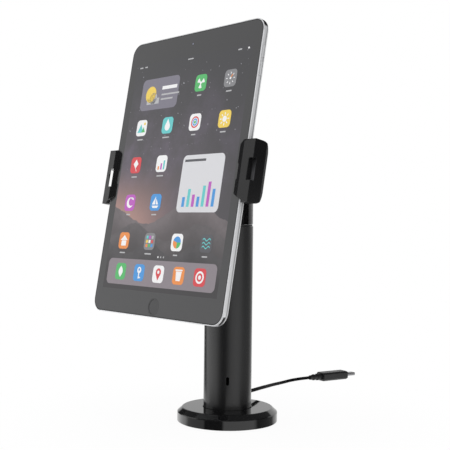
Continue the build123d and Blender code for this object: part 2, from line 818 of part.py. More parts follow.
# Holder housing: a moulded box, open to the front, with rails for the two racks
screw_posts = [(side * screw_post_u, end * screw_post_v) for side in (1, -1) for end in (1, -1)]
rail_middle = (rail_ledge_edge + rail_outer_edge) / 2
rail_wall_middle = (rail_wall_edge + rail_outer_edge) / 2
bar_notch_low = rack_plain_edge - moving_gap
bar_notch_middle = (bar_notch_low + rail_wall_edge) / 2
with BuildPart() as holder_housing:
    with BuildSketch(front(housing_back)):
        RectangleRounded(2 * housing_half_width, 2 * housing_half_height, housing_corner_round)
    extrude(amount=cover_plate_back - housing_back)
    chamfer(faces().sort_by(hub_axis)[0].edges(), length=housing_back_break)
    with BuildSketch(front(housing_inner)):
        RectangleRounded(2 * cavity_half_width, 2 * cavity_half_height, housing_corner_round - housing_wall)
    extrude(amount=cover_plate_back - housing_inner, mode=Mode.SUBTRACT)
    with BuildSketch(front(housing_boss_back)):
        Circle(housing_boss_radius)
    extrude(amount=housing_boss_height)
    with BuildSketch(front(housing_inner)):
        with Locations((0, rail_middle), (0, -rail_middle)):
            Rectangle(2 * cavity_half_width, rail_outer_edge - rail_ledge_edge)
    extrude(amount=rack_back - moving_gap - housing_inner)
    with BuildSketch(front(rack_back - moving_gap)):
        with Locations((0, rail_wall_middle), (0, -rail_wall_middle)):
            Rectangle(2 * cavity_half_width, rail_wall_width)
        with Locations((lock_u, -rail_wall_middle)):
            Rectangle(2 * (cam_reach + rail_cam_gap), rail_wall_width, mode=Mode.SUBTRACT)
    extrude(amount=rack_thickness + 2 * moving_gap)
    with BuildSketch(front(housing_inner)):
        with Locations(*screw_posts):
            Circle(screw_post_radius)
    extrude(amount=cover_plate_back - housing_inner)
    with BuildSketch(front(cover_plate_back - cover_screw_length)):
        with Locations(*screw_posts):
            Circle(cover_screw_radius)
    extrude(amount=cover_screw_length, mode=Mode.SUBTRACT)
    with BuildSketch(front(housing_inner)):
        with Locations((-spring_end_radius - spring_strip / 2, 0)):
            Rectangle(spring_post_width, spring_post_depth, align=(Align.MAX, Align.CENTER))
    extrude(amount=hub_washer_front + spring_lift + spring_width - housing_inner)
    with BuildSketch(front(arm_flange_front - turn_stop_reach)):
        with Locations(polar(turn_stop_circle, radians(turn_stop_angle))):
            Circle(turn_stop_radius)
    extrude(amount=housing_boss_back + turn_stop_reach - arm_flange_front)
    for side in (1, -1):
        with BuildSketch(front(rack_back - moving_gap)):
            with Locations((side * (cavity_half_width - cut_over), side * bar_notch_middle)):
                Rectangle(
                    housing_wall + 2 * cut_over, rail_wall_edge - bar_notch_low,
                    align=(Align.MIN if side > 0 else Align.MAX, Align.CENTER),
                )
        extrude(amount=cover_plate_back + moving_gap - rack_back, mode=Mode.SUBTRACT)
    with BuildSketch(front(housing_boss_back)):
        Circle(hub_radius + shaft_gap)
    extrude(amount=housing_inner - housing_boss_back, mode=Mode.SUBTRACT)
    with BuildSketch(front(housing_back)):
        with Locations((lock_u, lock_v)):
            Circle(lock_sleeve_radius)
    extrude(amount=rack_back - housing_back, mode=Mode.SUBTRACT)
keep(holder_housing, "holder_housing")

# Holder cover: a plate with countersunk holes and the boss of the pinion's axle
with BuildPart() as holder_cover:
    with BuildSketch(front(cover_plate_back)):
        RectangleRounded(2 * housing_half_width, 2 * housing_half_height, housing_corner_round)
    extrude(amount=cover_plate_thickness)
    chamfer(faces().sort_by(hub_axis)[-1].edges(), length=cover_edge_break)
    with Locations(front(cover_plate_front)):
        with Locations(*screw_posts):
            CounterSinkHole(cover_screw_radius + fit_gap, cover_screw_head_radius + fit_gap)
    with BuildSketch(front(rack_front + moving_gap)):
        Circle(cover_boss_radius)
    extrude(amount=rack_front_gap - moving_gap)
    with BuildSketch(front(rack_front + moving_gap)):
        Circle(pinion_axle_radius)
    extrude(amount=rack_front_gap - moving_gap + cover_plate_thickness, mode=Mode.SUBTRACT)
keep(holder_cover, "holder_cover")

for number, place in enumerate(screw_posts, start=1):
    with BuildPart() as cover_screw:
        with BuildSketch(front(cover_plate_back - cover_screw_length)):
            with Locations(place):
                Circle(cover_screw_radius)
        extrude(amount=cover_screw_length + cover_plate_thickness)
        with BuildSketch(front(cover_plate_front - cover_screw_head_rise)):
            with Locations(place):
                Circle(cover_screw_radius)
        with BuildSketch(front(cover_plate_front)):
            with Locations(place):
                Circle(cover_screw_head_radius)
        loft()
        with BuildSketch(front(cover_plate_front - cover_screw_socket_depth)):
            with Locations(place):
                RegularPolygon(cover_screw_socket_width / 2, 6, major_radius=False)
        extrude(amount=cover_screw_socket_depth, mode=Mode.SUBTRACT)
    keep(cover_screw, f"cover_screw_{number}")

# Back pad: a rubber sheet with level grooves
with BuildPart() as back_pad:
    with BuildSketch(front(cover_plate_front)):
        RectangleRounded(back_pad_width, back_pad_height, back_pad_round)
    extrude(amount=back_pad_thickness)
    with BuildSketch(front(back_pad_front - back_pad_groove_depth)):
        with GridLocations(0, back_pad_groove_pitch, 1, back_pad_groove_count):
            SlotOverall(back_pad_groove_length, back_pad_groove_width)
    extrude(amount=back_pad_groove_depth, mode=Mode.SUBTRACT)
keep(back_pad, "back_pad")

# Pinion axle: pressed into the cover, its head holds the pinion
with BuildPart() as pinion_axle:
    with BuildSketch(front(axle_head_back)):
        Circle(axle_head_radius)
    extrude(amount=axle_head_thickness)
    with BuildSketch(front(axle_head_front)):
        Circle(pinion_axle_radius)
    extrude(amount=cover_plate_front - axle_head_front)
keep(pinion_axle, "pinion_axle")

# Pinion: involute teeth, a bore and the collar that winds the spring
pinion_base_radius = pinion_radius * cos(radians(pressure_angle))
pinion_tip_radius = pinion_radius + addendum
pinion_root_radius = pinion_radius - dedendum
tooth_half_width = (tooth_pitch / 2 - backlash) / 2


def involute(angle):
    return tan(angle) - angle


def tooth_half_angle(radius):
    at_pitch = tooth_half_width / pinion_radius + involute(radians(pressure_angle))
    return at_pitch - involute(acos(pinion_base_radius / radius))


flank_radii = [pinion_base_radius, (pinion_base_radius + pinion_tip_radius) / 2, pinion_tip_radius]
foot_half = tooth_half_angle(pinion_base_radius)
tooth_step = 2 * pi / pinion_tooth_count
with BuildPart() as pinion:
    with BuildSketch(front(rack_back)):
        with BuildLine():
            for tooth in range(pinion_tooth_count):
                middle = tooth_step * (tooth + 1 / 2)
                low = [polar(radius, middle - tooth_half_angle(radius)) for radius in flank_radii]
                high = [polar(radius, middle + tooth_half_angle(radius)) for radius in reversed(flank_radii)]
                Line(polar(pinion_root_radius, middle - foot_half), low[0])
                ThreePointArc(*low)
                Line(low[-1], high[0])
                ThreePointArc(*high)
                Line(high[-1], polar(pinion_root_radius, middle + foot_half))
                Line(
                    polar(pinion_root_radius, middle + foot_half),
                    polar(pinion_root_radius, middle + tooth_step - foot_half),
                )
        make_face()
    extrude(amount=rack_thickness)
    with BuildSketch(front(rack_back - pinion_collar_height)):
        Circle(collar_radius)
        Circle(collar_bore_radius, mode=Mode.SUBTRACT)
    extrude(amount=pinion_collar_height)
    with BuildSketch(front(rack_back)):
        Circle(pinion_axle_radius + shaft_gap)
    extrude(amount=rack_thickness, mode=Mode.SUBTRACT)
keep(pinion, "pinion")

# Return spring: a flat spiral of half turns, with a tab against its post
with BuildPart() as return_spring:
    with BuildSketch(front(hub_washer_front + spring_lift)):
        for turn in range(spring_half_turn_count):
            middle = (spring_growth * (turn % 2), 0)
            radius = spring_start_radius + spring_growth * turn
            start_angle = 180 * (turn % 2)
            with BuildLine():
                outer_arc = CenterArc(middle, radius + spring_strip / 2, start_angle, 180)
                inner_arc = CenterArc(middle, radius - spring_strip / 2, start_angle, 180)
                Line(outer_arc @ 0, inner_arc @ 0)
                Line(outer_arc @ 1, inner_arc @ 1)
            make_face()
        with Locations((-spring_end_radius, 0)):
            Rectangle(spring_strip, spring_tab_length, align=(Align.CENTER, Align.MAX))
    extrude(amount=spring_width)
keep(return_spring, "return_spring")

# Key lock: sleeve in the housing, and the barrel that turns the cam
lock_sleeve_front = rack_back - 2 * moving_gap
lock_barrel_back = housing_back - lock_collar_thickness + lock_barrel_inset
with BuildPart() as lock_sleeve:
    with BuildSketch(front(housing_back - lock_collar_thickness)):
        with Locations((lock_u, lock_v)):
            Circle(lock_sleeve_radius + lock_collar_width)
    extrude(amount=lock_collar_thickness)
    with BuildSketch(front(housing_back)):
        with Locations((lock_u, lock_v)):
            Circle(lock_sleeve_radius)
    extrude(amount=lock_sleeve_front - housing_back)
    with BuildSketch(front(housing_back - lock_collar_thickness)):
        with Locations((lock_u, lock_v)):
            Circle(lock_bore_radius)
    extrude(amount=lock_sleeve_front - housing_back + lock_collar_thickness, mode=Mode.SUBTRACT)
keep(lock_sleeve, "lock_sleeve")

with BuildPart() as lock_barrel:
    with BuildSketch(front(lock_barrel_back)):
        with Locations((lock_u, lock_v)):
            Circle(lock_barrel_radius)
    extrude(amount=rack_back - lock_barrel_back)
    with BuildSketch(front(rack_back)):
        with Locations((lock_u, lock_v)):
            Rectangle(lock_tang_width, lock_tang_width)
    extrude(amount=cam_thickness)
    with BuildSketch(front(lock_barrel_back)):
        with Locations((lock_u, lock_v)):
            Rectangle(keyway_width, keyway_length)
            Circle(keyway_eye_radius)
    extrude(amount=keyway_depth, mode=Mode.SUBTRACT)
keep(lock_barrel, "lock_barrel")

with BuildPart() as lock_cam:
    with BuildSketch(front(rack_back)):
        with Locations((lock_u, lock_v)):
            Circle(cam_hub_radius)
        with Locations((lock_u + cam_reach - cam_lobe_round, lock_v)):
            Circle(cam_lobe_round)
        make_hull()
        with Locations((lock_u, lock_v)):
            Rectangle(lock_tang_width, lock_tang_width, mode=Mode.SUBTRACT)
    extrude(amount=cam_thickness)
keep(lock_cam, "lock_cam")

# Racks: straight-flanked teeth, a plain bar and the paddle that carries a jaw
rack_root_line = pinion_radius + dedendum
rack_tip_line = pinion_radius - addendum
rack_root_half = tooth_half_width + dedendum * tan(radians(pressure_angle))
rack_tip_half = tooth_half_width - addendum * tan(radians(pressure_angle))
rack_inner_end = -(rack_inner_tooth_count * tooth_pitch + rack_inner_tail)
rack_plain_start = (rack_outer_tooth_count + 1 / 2) * tooth_pitch
jaw_screw_places = [jaw_screw_middle - jaw_screw_pitch / 2, jaw_screw_middle + jaw_screw_pitch / 2]


def make_rack(side):
    outline = [
        (rack_inner_end, rack_outer_edge),
        (paddle_end, rack_outer_edge),
        (paddle_end, -paddle_far_edge),
        (paddle_start, -paddle_far_edge),
        (paddle_start, rack_plain_edge),
        (rack_plain_start, rack_plain_edge),
        (rack_plain_start, rack_root_line),
    ]
    for tooth in range(rack_outer_tooth_count, -rack_inner_tooth_count - 1, -1):
        middle = tooth * tooth_pitch
        outline.append((middle + rack_root_half, rack_root_line))
        outline.append((middle + rack_tip_half, rack_tip_line))
        outline.append((middle - rack_tip_half, rack_tip_line))
        outline.append((middle - rack_root_half, rack_root_line))
    outline.append((rack_inner_end, rack_root_line))
    with BuildPart() as rack:
        with BuildSketch(front(rack_back)):
            with BuildLine():
                Polyline(*[(side * u, side * v) for u, v in outline], close=True)
            make_face()
            for edge in (-paddle_far_edge, rack_plain_edge):
                corner = vertices().sort_by_distance((side * paddle_start, side * edge, 0))[0]
                fillet(corner, radius=paddle_round)
            with Locations(*[(side * jaw_screw_reach, side * v) for v in jaw_screw_places]):
                Circle(jaw_screw_radius + fit_gap, mode=Mode.SUBTRACT)
        extrude(amount=rack_thickness)
        with BuildSketch(front(rack_back)):
            with Locations(*[(side * jaw_screw_reach, side * v) for v in jaw_screw_places]):
                Circle(jaw_screw_head_radius + shaft_gap)
        extrude(amount=jaw_screw_head_thickness + shaft_gap, mode=Mode.SUBTRACT)
    return rack


# Jaws: a hooked section, trimmed by its side outline, with one long hole each
jaw_section = [
    (jaw_lip_reach, glass_front + moving_gap),
    (jaw_lip_reach, glass_front + moving_gap + jaw_lip_tip),
    (jaw_ridge_reach, glass_front + jaw_ridge_rise),
    (jaw_outer_reach, glass_front + jaw_corner_rise),
    (jaw_outer_reach, jaw_back + jaw_bevel_rise),
    (jaw_outer_reach - jaw_bevel_run, jaw_back),
    (jaw_wall_reach, jaw_back),
    (jaw_wall_reach, rack_front),
    (jaw_leg_reach, rack_front),
    (jaw_leg_reach, jaw_leg_front),
    (jaw_wall_reach, jaw_leg_front),
    (jaw_wall_reach, glass_front + moving_gap),
]
jaw_depth = glass_front + jaw_ridge_rise - jaw_back
lip_cuts = [(1, jaw_top_cut_run, jaw_top_cut_fall), (-1, jaw_low_cut_run, jaw_low_cut_rise)]


def make_jaw(side):
    with BuildPart() as jaw:
        with BuildSketch(across(jaw_length / 2)):
            with BuildLine():
                Polyline(*[(side * reach, forward) for reach, forward in jaw_section], close=True)
            make_face()
        extrude(amount=jaw_length)
        with BuildSketch(beside(0)):
            with Locations((0, jaw_back)):
                Rectangle(jaw_length, jaw_depth, align=(Align.CENTER, Align.MIN))
            back_corners = vertices().group_by(Axis.Y)[0].sort_by(Axis.X)
            fillet(back_corners[0], radius=jaw_low_back_round)
            back_corners = vertices().group_by(Axis.Y)[0].sort_by(Axis.X)
            fillet(back_corners[-1], radius=jaw_top_back_round)
            fillet(vertices().group_by(Axis.Y)[-1], radius=jaw_front_round)
        extrude(amount=side * (jaw_outer_reach + cut_over), mode=Mode.INTERSECT)
        with BuildSketch(front(glass_front)):
            for end, run, rise in lip_cuts:
                corner = Vector(side * jaw_lip_reach, end * jaw_length / 2)
                with BuildLine():
                    Polyline(
                        corner, corner + Vector(side * run, 0), corner - Vector(0, end * rise), close=True
                    )
                make_face()
            with Locations((side * (jaw_lip_reach + lip_notch_depth / 2), lip_notch_v)):
                Rectangle(lip_notch_depth, lip_notch_length)
        extrude(amount=jaw_ridge_rise, mode=Mode.SUBTRACT)
        with BuildSketch(beside(side * (jaw_outer_reach - side_notch_depth))):
            with Locations((side_notch_v, jaw_back + jaw_bevel_rise)):
                with BuildLine():
                    Polyline(
                        (-side_notch_length / 2, 0), (0, side_notch_width / 2),
                        (side_notch_length / 2, 0), (0, -side_notch_width / 2), close=True,
                    )
                make_face()
        extrude(amount=side * side_notch_depth, mode=Mode.SUBTRACT)
        if side > 0:
            with BuildSketch(beside(jaw_outer_reach - corner_slot_width)):
                with Locations((corner_slot_v, glass_front - corner_slot_drop)):
                    Rectangle(
                        corner_slot_length, corner_slot_drop + jaw_ridge_rise, align=(Align.CENTER, Align.MIN)
                    )
            extrude(amount=corner_slot_width, mode=Mode.SUBTRACT)
        else:
            tunnel_run = jaw_outer_reach - jaw_ridge_reach + cut_over
            tunnel_floor = glass_front + jaw_ridge_rise - tunnel_run * tan(radians(tunnel_angle))
            tunnel_start = jaw_wall_reach - tunnel_inset
            with BuildSketch(across(tunnel_v + tunnel_length / 2)):
                with BuildLine():
                    Polyline(
                        (-tunnel_start, glass_front + jaw_ridge_rise),
                        (-tunnel_start - tunnel_width, glass_front + jaw_ridge_rise),
                        (-tunnel_start - tunnel_width - tunnel_run, tunnel_floor),
                        (-tunnel_start - tunnel_run, tunnel_floor),
                        close=True,
                    )
                make_face()
            extrude(amount=tunnel_length, mode=Mode.SUBTRACT)
            pocket_edge = -tunnel_start - tunnel_width / 2
            with BuildSketch(front(glass_front + jaw_ridge_rise - pocket_depth)):
                with BuildLine():
                    Polyline(
                        (pocket_edge, tunnel_v + tunnel_length / 2),
                        (pocket_edge, tunnel_v - tunnel_length / 2),
                        (-tunnel_start - tunnel_width - pocket_reach, pocket_apex_v),
                        close=True,
                    )
                make_face()
            extrude(amount=pocket_depth, mode=Mode.SUBTRACT)
        with BuildSketch(front(rack_front)):
            with Locations(*[(side * jaw_screw_reach, side * v) for v in jaw_screw_places]):
                Circle(jaw_screw_radius)
        extrude(amount=jaw_screw_grip, mode=Mode.SUBTRACT)
    return jaw


for name, side in (("right", 1), ("left", -1)):
    rack = make_rack(side)
    keep(rack, f"rack_arm_{name}")
    jaw = make_jaw(side)
    keep(jaw, f"jaw_{name}")
    with BuildPart() as jaw_pad:
        with BuildSketch(beside(side * (jaw_wall_reach - jaw_pad_thickness))):
            with Locations((0, glass_front - jaw_pad_front_drop)):
                Rectangle(jaw_pad_length, jaw_pad_height, align=(Align.CENTER, Align.MAX))
        extrude(amount=side * jaw_pad_thickness)
    keep(jaw_pad, f"jaw_pad_{name}")
    for number, v in enumerate(jaw_screw_places, start=1):
        seat = Plane(
            origin=pivot + facing * (rack_back + jaw_screw_head_thickness + shaft_gap)
            + Vector(side * jaw_screw_reach, 0, 0) + rising * (side * v),
            x_dir=(1, 0, 0),
            z_dir=facing * -1,
        )
        jaw_screw = make_socket_screw(
            seat, jaw_screw_head_radius, jaw_screw_head_thickness, jaw_screw_radius,
            rack_thickness - jaw_screw_head_thickness - shaft_gap + jaw_screw_grip,
            jaw_screw_socket_width, jaw_screw_socket_depth,
        )
        keep(jaw_screw, f"jaw_screw_{name}_{number}")

# Tablet housing: a shallow metal tray with rounded back edges and a polished rim
tablet_half_height = tablet_height / 2
cavity_width = tablet_width - 2 * tablet_wall
cavity_height = tablet_height - 2 * tablet_wall
glass_width = tablet_width - 2 * glass_rim
glass_height = tablet_height - 2 * glass_rim
display_width = tablet_width - 2 * display_side_border
display_height = tablet_height - 2 * display_end_border
sleep_key_u = tablet_half - sleep_key_inset
home_button_rise = tablet_wall + moving_gap + home_button_lip + home_button_radius
home_button_v = tablet_rise - tablet_half_height + home_button_rise
rear_lens_u = tablet_half - rear_lens_inset
rear_lens_v = tablet_rise + tablet_half_height - rear_lens_inset
side_keys = [
    ("volume_up_key", tablet_rise + tablet_half_height - volume_up_inset, volume_up_length),
    ("volume_down_key", tablet_rise + tablet_half_height - volume_down_inset, volume_down_length),
]
key_depth = key_proud + tablet_wall + key_inner
top_plane = across(tablet_rise + tablet_half_height - tablet_wall - key_inner)
bottom_plane = across(tablet_rise - tablet_half_height + port_depth)
with BuildPart() as tablet_housing:
    with BuildSketch(front(tablet_back)):
        with Locations((0, tablet_rise)):
            RectangleRounded(tablet_width, tablet_height, tablet_corner_round)
    extrude(amount=tablet_thickness)
    fillet(faces().sort_by(hub_axis)[0].edges(), radius=tablet_back_round)
    chamfer(faces().sort_by(hub_axis)[-1].edges(), length=tablet_rim_chamfer)
    with BuildSketch(front(cavity_back)):
        with Locations((0, tablet_rise)):
            RectangleRounded(cavity_width, cavity_height, tablet_corner_round - tablet_wall)
    extrude(amount=glass_front - cavity_back, mode=Mode.SUBTRACT)
    with BuildSketch(front(glass_back)):
        with Locations((0, tablet_rise)):
            RectangleRounded(glass_width, glass_height, tablet_corner_round - glass_rim)
    extrude(amount=glass_thickness, mode=Mode.SUBTRACT)
    for name, middle, length in side_keys:
        with BuildSketch(beside(tablet_half - tablet_wall - cut_over)):
            with Locations((middle, key_reach)):
                RectangleRounded(length + 2 * key_gap, key_height + 2 * key_gap, key_end_round)
        extrude(amount=tablet_wall + 2 * cut_over, mode=Mode.SUBTRACT)
    with BuildSketch(top_plane):
        with Locations((sleep_key_u, key_reach)):
            RectangleRounded(sleep_key_length + 2 * key_gap, key_height + 2 * key_gap, key_end_round)
    extrude(amount=-(tablet_wall + 2 * cut_over), mode=Mode.SUBTRACT)
    with BuildSketch(bottom_plane):
        with Locations((0, key_reach)):
            RectangleRounded(port_width, port_height, port_round)
        for side in (1, -1):
            with Locations((side * speaker_centre, key_reach)):
                with GridLocations(speaker_hole_pitch, 0, speaker_hole_count, 1):
                    Circle(speaker_hole_radius)
    extrude(amount=port_depth, mode=Mode.SUBTRACT)
    with BuildSketch(front(tablet_back)):
        with Locations((rear_lens_u, rear_lens_v)):
            Circle(rear_lens_radius)
    extrude(amount=tablet_back_wall, mode=Mode.SUBTRACT)
keep(tablet_housing, "tablet_housing")

with BuildPart() as tablet_core:
    with BuildSketch(front(cavity_back)):
        with Locations((0, tablet_rise)):
            RectangleRounded(
                cavity_width - 2 * core_margin, cavity_height - 2 * core_margin,
                tablet_corner_round - tablet_wall - core_margin,
            )
    extrude(amount=display_back - cavity_back)
keep(tablet_core, "tablet_core")

with BuildPart() as display_panel:
    with BuildSketch(front(display_back)):
        with Locations((0, tablet_rise)):
            Rectangle(display_width, display_height)
    extrude(amount=display_thickness)
keep(display_panel, "display_panel")

with BuildPart() as tablet_glass:
    with BuildSketch(front(glass_back)):
        with Locations((0, tablet_rise)):
            RectangleRounded(glass_width, glass_height, tablet_corner_round - glass_rim)
        with Locations((0, home_button_v)):
            Circle(home_button_radius + home_button_gap, mode=Mode.SUBTRACT)
    extrude(amount=glass_thickness)
keep(tablet_glass, "tablet_glass")

with BuildPart() as rear_lens:
    with BuildSketch(front(tablet_back - rear_lens_proud)):
        with Locations((rear_lens_u, rear_lens_v)):
            Circle(rear_lens_radius)
    extrude(amount=rear_lens_proud + tablet_back_wall)
keep(rear_lens, "rear_lens")

# Home button: a disc with a lip behind the glass
home_button_front = glass_front - home_button_inset
with BuildPart() as home_button:
    with BuildSketch(front(home_button_front - home_button_thickness)):
        with Locations((0, home_button_v)):
            Circle(home_button_radius)
    extrude(amount=home_button_thickness)
    with BuildSketch(front(home_button_front - home_button_thickness)):
        with Locations((0, home_button_v)):
            Circle(home_button_radius + home_button_lip)
    extrude(amount=home_button_lip_thickness)
keep(home_button, "home_button")

# Side keys and sleep key
for name, middle, length in side_keys:
    with BuildPart() as side_key:
        with BuildSketch(beside(tablet_half - tablet_wall - key_inner)):
            with Locations((middle, key_reach)):
                RectangleRounded(length, key_height, key_end_round)
        extrude(amount=key_depth)
    keep(side_key, name)

with BuildPart() as sleep_key:
    with BuildSketch(top_plane):
        with Locations((sleep_key_u, key_reach)):
            RectangleRounded(sleep_key_length, key_height, key_end_round)
    extrude(amount=-key_depth)
keep(sleep_key, "sleep_key")

# Free cord: straight runs joined by tangent arcs
cord_lead_end = exit_plane.offset(cord_lead).origin
route = [exit_plane.origin, cord_lead_end] + [Vector(*point) for point in cord_turns]
runs = [route[index + 1] - route[index] for index in range(len(route) - 1)]
cord_radii = []
for before, after in zip(runs, runs[1:]):
    turn = radians(before.get_angle(after))
    cord_radii.append(cord_run_share * min(before.length, after.length) / tan(turn / 2))
print("cord runs", [round(run.length, 1) for run in runs])
print("cord radii", [round(radius, 1) for radius in cord_radii])
with BuildPart() as free_cord:
    with BuildLine() as cord_path:
        FilletPolyline(*route, radius=cord_radii)
    with BuildSketch(Plane(origin=route[0], z_dir=runs[0])):
        Circle(cord_radius)
    sweep()
keep(free_cord, "free_cord")
cord_length = cord_path.wires()[0].length
print("cord length", round(cord_length, 1))
print("cord volume", round(free_cord.part.volume, 1))
print("cord section by length", round(pi * cord_radius**2 * cord_length, 1))

# Strain relief: a ribbed cone on the cord's end
cord_end = Plane(origin=route[-1], x_dir=runs[-1].cross(Vector(0, 0, 1)), z_dir=runs[-1])
rib_pitch = relief_length / (relief_rib_count + 1)
with BuildPart() as cord_strain_relief:
    with BuildSketch(cord_end):
        Circle(relief_small_radius)
    with BuildSketch(cord_end.offset(relief_length)):
        Circle(relief_large_radius)
    loft()
    for rib in range(1, relief_rib_count + 1):
        taper = (relief_large_radius - relief_small_radius) * rib / (relief_rib_count + 1)
        with BuildSketch(cord_end.offset(rib * rib_pitch - relief_rib_width / 2)):
            Circle(relief_small_radius + taper + relief_rib_depth)
        extrude(amount=relief_rib_width)
keep(cord_strain_relief, "cord_strain_relief")

# Plug: a bevelled grip with a narrower nose
with BuildPart() as plug_body:
    with BuildSketch(cord_end.offset(relief_length)):
        Rectangle(plug_width, plug_height)
        chamfer(vertices(), length=plug_edge_bevel)
    extrude(amount=plug_length - plug_nose_length)
    with BuildSketch(cord_end.offset(relief_length + plug_length - plug_nose_length)):
        Rectangle(plug_width - 2 * plug_nose_inset, plug_height - 2 * plug_nose_inset)
        chamfer(vertices(), length=plug_edge_bevel / 2)
    extrude(amount=plug_nose_length)
keep(plug_body, "plug_body")

# Plug shell: a folded metal sleeve round a tongue
with BuildPart() as plug_shell:
    with BuildSketch(cord_end.offset(relief_length + plug_length)):
        Rectangle(shell_width, shell_height)
        chamfer(vertices(), length=shell_edge_bevel)
        offset(amount=-shell_wall, mode=Mode.SUBTRACT)
    extrude(amount=shell_length)
    with BuildSketch(cord_end.offset(relief_length + plug_length)):
        Rectangle(shell_width - 2 * shell_wall, tongue_height)
    extrude(amount=shell_length - tongue_inset)
keep(plug_shell, "plug_shell")
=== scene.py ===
# %% [markdown]
# # Tablet security kiosk stand
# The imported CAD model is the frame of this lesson. It gives every rigid piece its shape and
# place, so this file only adds what a camera needs: finishes, the glass front's picture, fine
# trim, the soft cable, the light and the floor. Blender works in metres, and sizes in
# millimetres are multiplied by MM.

# %% Load the frame
from math import atan2, cos, degrees, pi, radians, sin

import bpy
from mathutils import Matrix, Vector


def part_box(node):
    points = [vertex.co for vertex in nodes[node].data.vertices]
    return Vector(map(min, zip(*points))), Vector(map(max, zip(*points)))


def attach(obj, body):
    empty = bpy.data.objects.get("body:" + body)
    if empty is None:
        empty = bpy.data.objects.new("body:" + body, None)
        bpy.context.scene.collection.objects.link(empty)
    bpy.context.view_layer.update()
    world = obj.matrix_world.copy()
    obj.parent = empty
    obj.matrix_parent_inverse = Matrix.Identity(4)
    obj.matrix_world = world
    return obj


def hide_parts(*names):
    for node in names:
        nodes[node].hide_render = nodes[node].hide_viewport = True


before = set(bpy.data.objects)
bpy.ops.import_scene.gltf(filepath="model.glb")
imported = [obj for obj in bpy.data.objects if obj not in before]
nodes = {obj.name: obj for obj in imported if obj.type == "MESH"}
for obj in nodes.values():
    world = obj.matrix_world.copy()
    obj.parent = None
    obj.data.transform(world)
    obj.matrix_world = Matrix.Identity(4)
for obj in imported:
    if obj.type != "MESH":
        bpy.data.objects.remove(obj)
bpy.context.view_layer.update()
scene = bpy.context.scene
MM = 0.001

# %% [markdown]
# ## Camera
# The view is from the stand's front right, level with the tablet's middle. Three angles could
# set it, but three unit vectors, the camera's right, its up and the way that it looks, make a
# matrix as they are.

# %% Camera
def add_object(name, data):
    """Puts data into the scene as an object."""
    made = bpy.data.objects.new(name, data)
    scene.collection.objects.link(made)
    return made


view_right = Vector((0.66655, 0.74537, 0.01179))
view_up = Vector((-0.00993, -0.00693, 0.99993))
view_ahead = Vector((-0.74539, 0.66662, -0.00278))
camera_place = Vector((0.59171, -0.534247, 0.17137))
turn = Matrix((view_right, view_up, -view_ahead)).transposed().to_4x4()
camera = add_object("camera", bpy.data.cameras.new("camera"))
camera.matrix_world = Matrix.Translation(camera_place) @ turn
camera.data.lens = 73.72
scene.camera = camera
camera_azimuth = degrees(atan2(-view_ahead.y, -view_ahead.x))
print("camera looks from", round(camera_azimuth, 1), "degrees round the stand")

# %% [markdown]
# ## Shader expressions
# A material is a small sum over the surface: a little noise here, a mask there. Written node
# by node that sum is hard to read, so a Signal wraps one socket and gives it the signs + - * /,
# and each sign adds its Math node. Finish owns one material and makes every other node.

# %% Signal: one number over a surface
class Signal:
    """One number that varies over a surface."""

    def __init__(self, finish, socket):
        self.finish = finish
        self.socket = socket

    def math(self, operation, *others):
        sockets = dict(enumerate((self, *others)))
        node = self.finish.node("ShaderNodeMath", {"operation": operation}, sockets)
        return Signal(self.finish, node.outputs[0])

    def __add__(self, other):
        return self.math("ADD", other)

    def __mul__(self, other):
        return self.math("MULTIPLY", other)

    def __sub__(self, other):
        return self.math("SUBTRACT", other)

    def __truediv__(self, other):
        return self.math("DIVIDE", other)

    def __rsub__(self, other):
        return self * -1 + other

    def __abs__(self):
        return self.math("ABSOLUTE")

    __radd__ = __add__
    __rmul__ = __mul__

    def most(self, other):
        return self.math("MAXIMUM", other)

    def sine(self):
        return self.math("SINE")

    def step(self, low, high, first=0.0, last=1.0):
        """Eases from one value to another while the number goes from low to high."""
        settings = {"interpolation_type": "SMOOTHSTEP"}
        sockets = {
            "Value": self, "From Min": low, "From Max": high, "To Min": first, "To Max": last,
        }
        node = self.finish.node("ShaderNodeMapRange", settings, sockets)
        return Signal(self.finish, node.outputs[0])


